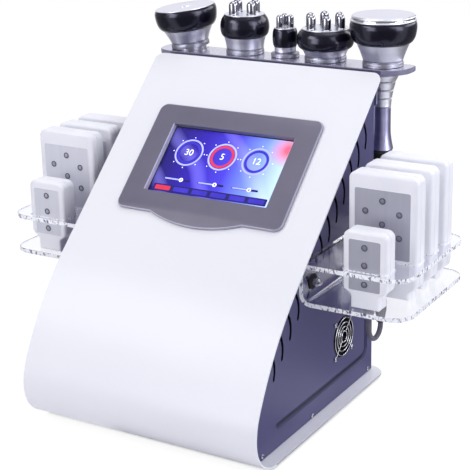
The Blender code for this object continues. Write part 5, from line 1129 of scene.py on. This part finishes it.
def tray_bolts(side, word):
    """Black washers and cap nuts that clamp the tray's wall to its cover."""
    low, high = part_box(f"tray_{word}_lower")
    inner = min(abs(low.x), abs(high.x))
    washer = [(0.0, 0.0), (0.0088, 0.0), (0.0088, 0.0008), (0.0078, 0.0013), (0.0, 0.0013)]
    turns = [tau * (k + 0.3) / 6 for k in range(6)]
    for index, y in enumerate((low.y + BOLT_FROM_END, high.y - BOLT_FROM_END)):
        place = beside(side, inner + 0.0052, y, high.z - BOLT_FROM_TOP)
        lathed(f"tray_washer_{word}_{index + 1}", washer, 48, place, BLACK_RUBBER, "machine")
        bm = bmesh.new()
        bridged(bm, [[place @ Vector((radius * cos(a), radius * sin(a), height)) for a in turns]
                     for height, radius in ((0.0011, 0.0058), (0.0058, 0.0058), (0.0066, 0.0050))])
        lathe(bm, [(0.0, 0.0060), (0.0046, 0.0060), (0.0043, 0.0082), (0.0030, 0.0100), (0.0, 0.0107)], 32, place)
        nut = add_object(f"tray_nut_{word}_{index + 1}", bm, ELECTRODE_METAL, "machine")
        break_edges(nut, 0.0003, 30.0)


# Pad lead

LEAD_DIAMETER = 0.0055
LEAD_POINTS = 40
LEAD_FRONT_STRAIGHT = 0.004
LEAD_REAR_STRAIGHT = 0.002
LEAD_FRONT_PULL = 0.030
LEAD_REAR_PULL = 0.017


def under(node, gap):
    """The middle of a socket's lower end, or a gap below it."""
    low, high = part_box(node)
    return Vector(((low.x + high.x) / 2, (low.y + high.y) / 2, low.z - gap))


def pad_lead():
    """The same hanging route as the solid, as one smooth tube between its two sockets."""
    front, rear = under("lead_socket_front", CLEAR), under("lead_socket_rear", CLEAR)
    down = Vector((0.0, 0.0, -1.0))
    controls = (front + down * LEAD_FRONT_STRAIGHT, front + down * (LEAD_FRONT_STRAIGHT + LEAD_FRONT_PULL),
                rear + down * (LEAD_REAR_STRAIGHT + LEAD_REAR_PULL), rear + down * LEAD_REAR_STRAIGHT)
    route = [front]
    for step in range(LEAD_POINTS - 1):
        t = step / (LEAD_POINTS - 2)
        weights = ((1 - t) ** 3, 3 * t * (1 - t) ** 2, 3 * t * t * (1 - t), t ** 3)
        route.append(sum((w * c for w, c in zip(weights, controls)), Vector()))
    route.append(rear)
    curve = bpy.data.curves.new("pad_lead_skin", "CURVE")
    curve.dimensions = "3D"
    curve.bevel_depth = LEAD_DIAMETER / 2
    curve.bevel_resolution = 6
    curve.use_fill_caps = True
    spline = curve.splines.new("POLY")
    spline.points.add(len(route) - 1)
    for point, place in zip(spline.points, route):
        point.co = (*place, 1.0)
        point.radius = 1.0
    spline.use_smooth = True
    curve.materials.append(LEAD_SHEATH)
    made = placed("pad_lead_skin", curve, None, "machine", ("pad_lead",))
    for node, finish in (("lead_socket_front", LEAD_SHEATH), ("lead_socket_rear", BLACK_RUBBER)):
        low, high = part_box(node)
        height, radius = high.z - low.z, (high.x - low.x) / 2
        profile = softened([(0.0, 0.0), (radius * 0.72, 0.0), (radius, height * 0.45), (radius, height),
                            (0.0, height)], 0.0008)
        turned_piece(node + "_skin", profile, finish, "machine",
                                    Matrix.Translation(under(node, 0.0)), (node,), 48)


# Stage

STUDIO_TURN = radians(58.8)
STUDIO_LEVELS = ((-158.0, 1.0), (-140.0, 0.25), (-86.0, 0.25), (-76.0, 1.0), (-52.0, 1.0), (-42.0, 0.16),
                 (46.0, 0.16), (56.0, 1.0), (78.0, 1.0), (90.0, 0.25), (145.0, 0.25), (160.0, 1.0), (180.0, 1.0))
SOFT_BOXES = ((-66.0, 0.0), (-58.0, 1.0), (-40.0, 1.0), (-32.0, 0.0), (34.0, 0.0), (42.0, 1.0), (58.0, 1.0),
              (66.0, 0.0), (180.0, 0.0))
SOFT_BOX_LEVEL = 5.0
WORLD_FLOOR_LEVEL = 0.32
CEILING_LEVEL = 0.92
FLOOR_WHITE_SHARE = 0.84
CONTACT_SHADE_REACH = 0.007
COOL_WHITE = (0.94, 0.945, 1.0, 1.0)
HALF_FLOOR = 3.0


def studio_bearing(n, vector):
    """A direction's share of a full turn round the studio, and its height."""
    turned_vector = n.add("ShaderNodeMapping", {"Vector": vector, "Rotation": (0.0, 0.0, STUDIO_TURN)})
    parts = n.add("ShaderNodeSeparateXYZ", {"Vector": turned_vector.outputs["Vector"]}).outputs
    return n.ramp(n.maths("ARCTAN2", parts["Y"], parts["X"]), 0.0, 1.0, -pi, pi), parts["Z"]


def studio_glow(n, share, levels):
    """How bright the studio looks in a reflection from each side."""
    stops = [(0.0, (levels[-1][1],) * 3)]
    stops += [((degrees + 180.0) / 360.0, (level,) * 3) for degrees, level in levels]
    return n.colour_ramp(share, stops, "EASE")


def world():
    """Plain white where the camera looks; in reflections, dark walls, a pale ceiling and two soft boxes."""
    made = bpy.data.worlds.new("studio")
    bpy.context.scene.world = made
    n = Nodes(made)
    ambient = n.tree.nodes["Background"]
    n.fill(ambient, {"Color": (0.93, 0.94, 1.0, 1.0), "Strength": 0.50})
    ray, seen = n.rays()
    share, height = studio_bearing(n, n.add("ShaderNodeTexCoord").outputs["Generated"])
    walls = n.maths("MAXIMUM", studio_glow(n, share, STUDIO_LEVELS),
                    n.ramp(height, WORLD_FLOOR_LEVEL, CEILING_LEVEL, 0.72, 0.92))
    boxes = n.ramp(studio_glow(n, share, SOFT_BOXES), 0.0, SOFT_BOX_LEVEL, 0.0, 1.0)
    strength = n.maths("MULTIPLY_ADD", boxes, n.ramp(height, 0.0, 1.0, 0.58, 0.42), walls)
    mirrored = n.add("ShaderNodeBackground", {"Color": COOL_WHITE, "Strength": strength})
    white = n.add("ShaderNodeBackground", {"Color": (1.0, 1.0, 1.0, 1.0), "Strength": 1.0})
    inner = n.mix_shaders(ray["Is Glossy Ray"], ambient, mirrored)
    n.fill(n.tree.nodes["World Output"], {"Surface": n.mix_shaders(seen, inner, white).outputs[0]})


def floor():
    """A floor that shows as plain white and still takes the object's shadow; its white glow dims close to the object,
    a painted contact shadow.
    """
    n = Nodes(bpy.data.materials.new("floor_white"))
    n.set(Base_Color=n.tint(n.noise(3.0), (0.86, 0.86, 0.88), (0.90, 0.90, 0.92)), Roughness=0.6)
    ray, seen = n.rays()
    # Ambient occlusion dims the white glow near the object: a painted contact shadow.
    nearby = n.add("ShaderNodeAmbientOcclusion", {"Distance": CONTACT_SHADE_REACH}, samples=24).outputs["AO"]
    white = n.add("ShaderNodeEmission", {"Strength": n.ramp(nearby, 0.34, 1.09, 0.20, 0.58)})
    shown = n.mix_shaders(n.maths("MULTIPLY", seen, FLOOR_WHITE_SHARE), n.shader, white)
    share, _ = studio_bearing(n, n.add("ShaderNodeNewGeometry").outputs["Position"])
    mirrored = n.add("ShaderNodeEmission", {"Color": COOL_WHITE, "Strength": studio_glow(n, share, STUDIO_LEVELS)})
    reflected = n.maths("SUBTRACT", ray["Is Glossy Ray"], ray["Is Transmission Ray"], use_clamp=True)
    last = n.mix_shaders(reflected, shown, mirrored)
    n.fill(n.tree.nodes["Material Output"], {"Surface": last.outputs[0]})
    bm = bmesh.new()
    corners = ((-1, -1), (1, -1), (1, 1), (-1, 1))
    bm.faces.new([bm.verts.new((HALF_FLOOR * sx, HALF_FLOOR * sy, 0.0)) for sx, sy in corners])
    add_object("floor", bm, n.owner, None)


def lamp(name, place, target, size, power, colour=(1.0, 1.0, 1.0)):
    light = bpy.data.lights.new(name, "AREA")
    light.shape = "RECTANGLE"
    light.size, light.size_y = size
    light.energy = power
    light.color = colour
    made = placed(name, light)
    made.location = place
    made.rotation_euler = (Vector(target) - Vector(place)).to_track_quat("-Z", "Y").to_euler()


def lights():
    middle = (0.0, 0.0, 0.2)
    lamp("key", (-1.3, -1.6, 1.75), middle, (1.2, 0.9), 18.8)
    lamp("fill", (1.7, -0.6, 1.4), middle, (0.9, 1.2), 8.4, (0.91, 0.93, 1.0))
    lamp("top", (0.0, 0.3, 1.9), middle, (1.4, 1.0), 8.5)
    lamp("back", (0.9, 1.5, 1.1), middle, (1.2, 0.8), 10.0)
    lamp("side", (0.85, 0.55, 0.75), (HALF_CASING, 0.12, 0.22), (0.35, 0.35), 1.5, (0.93, 0.94, 1.0))


def camera():
    az, el, roll = CAMERA_AZIMUTH, CAMERA_ELEVATION, CAMERA_ROLL
    forward = Vector((-sin(az) * cos(el), cos(az) * cos(el), -sin(el)))
    level = Vector((cos(az), sin(az), 0.0))
    above = level.cross(forward)
    right = level * cos(roll) + above * sin(roll)
    up = above * cos(roll) - level * sin(roll)
    data = bpy.data.cameras.new("photo_camera")
    data.sensor_width = SENSOR_WIDTH
    data.lens = CAMERA_FOCAL_PIXELS / PHOTO_PIXELS * SENSOR_WIDTH
    place = CAMERA_FROM_FRONT + Vector((0.0, FRONT, BASE_BOTTOM))
    bpy.context.scene.camera = placed("photo_camera", data, plane(place, right, up, -forward))


camera()
pad_lead()
front_sheet()
bezel()
screen()
for head_name, head_sizes in HEADS.items():
    handpiece(head_name, head_sizes)
for side_sign, side_word in SIDES:
    laser_pad(side_word, "small_pad", PADS["small"])
    for number in range(3):
        laser_pad(side_word, f"large_pad_{number + 1}", PADS["large"])
    for shelf in ("lower", "upper"):
        clear_tray(side_word, shelf)
    tray_bolts(side_sign, side_word)
    side_cover(side_sign, side_word)
for plain_node, plain_finish in (
        ("rear_housing", CASING_PAINT), ("fan_frame", MATT_BLACK), ("power_inlet", GLOSS_BLACK),
        ("power_switch", GLOSS_BLACK), ("power_supply", STEEL), ("vacuum_pump", STEEL), ("main_board", BOARD),
        ("foot_strip_front", BLACK_RUBBER), ("foot_strip_rear", BLACK_RUBBER)):
    dressed(plain_node, plain_finish)
dressed("fan_rotor", MATT_BLACK, 0.0)
rack()
fan_guard()
world()
floor()
lights()

bpy.context.scene.view_settings.view_transform = "Standard"
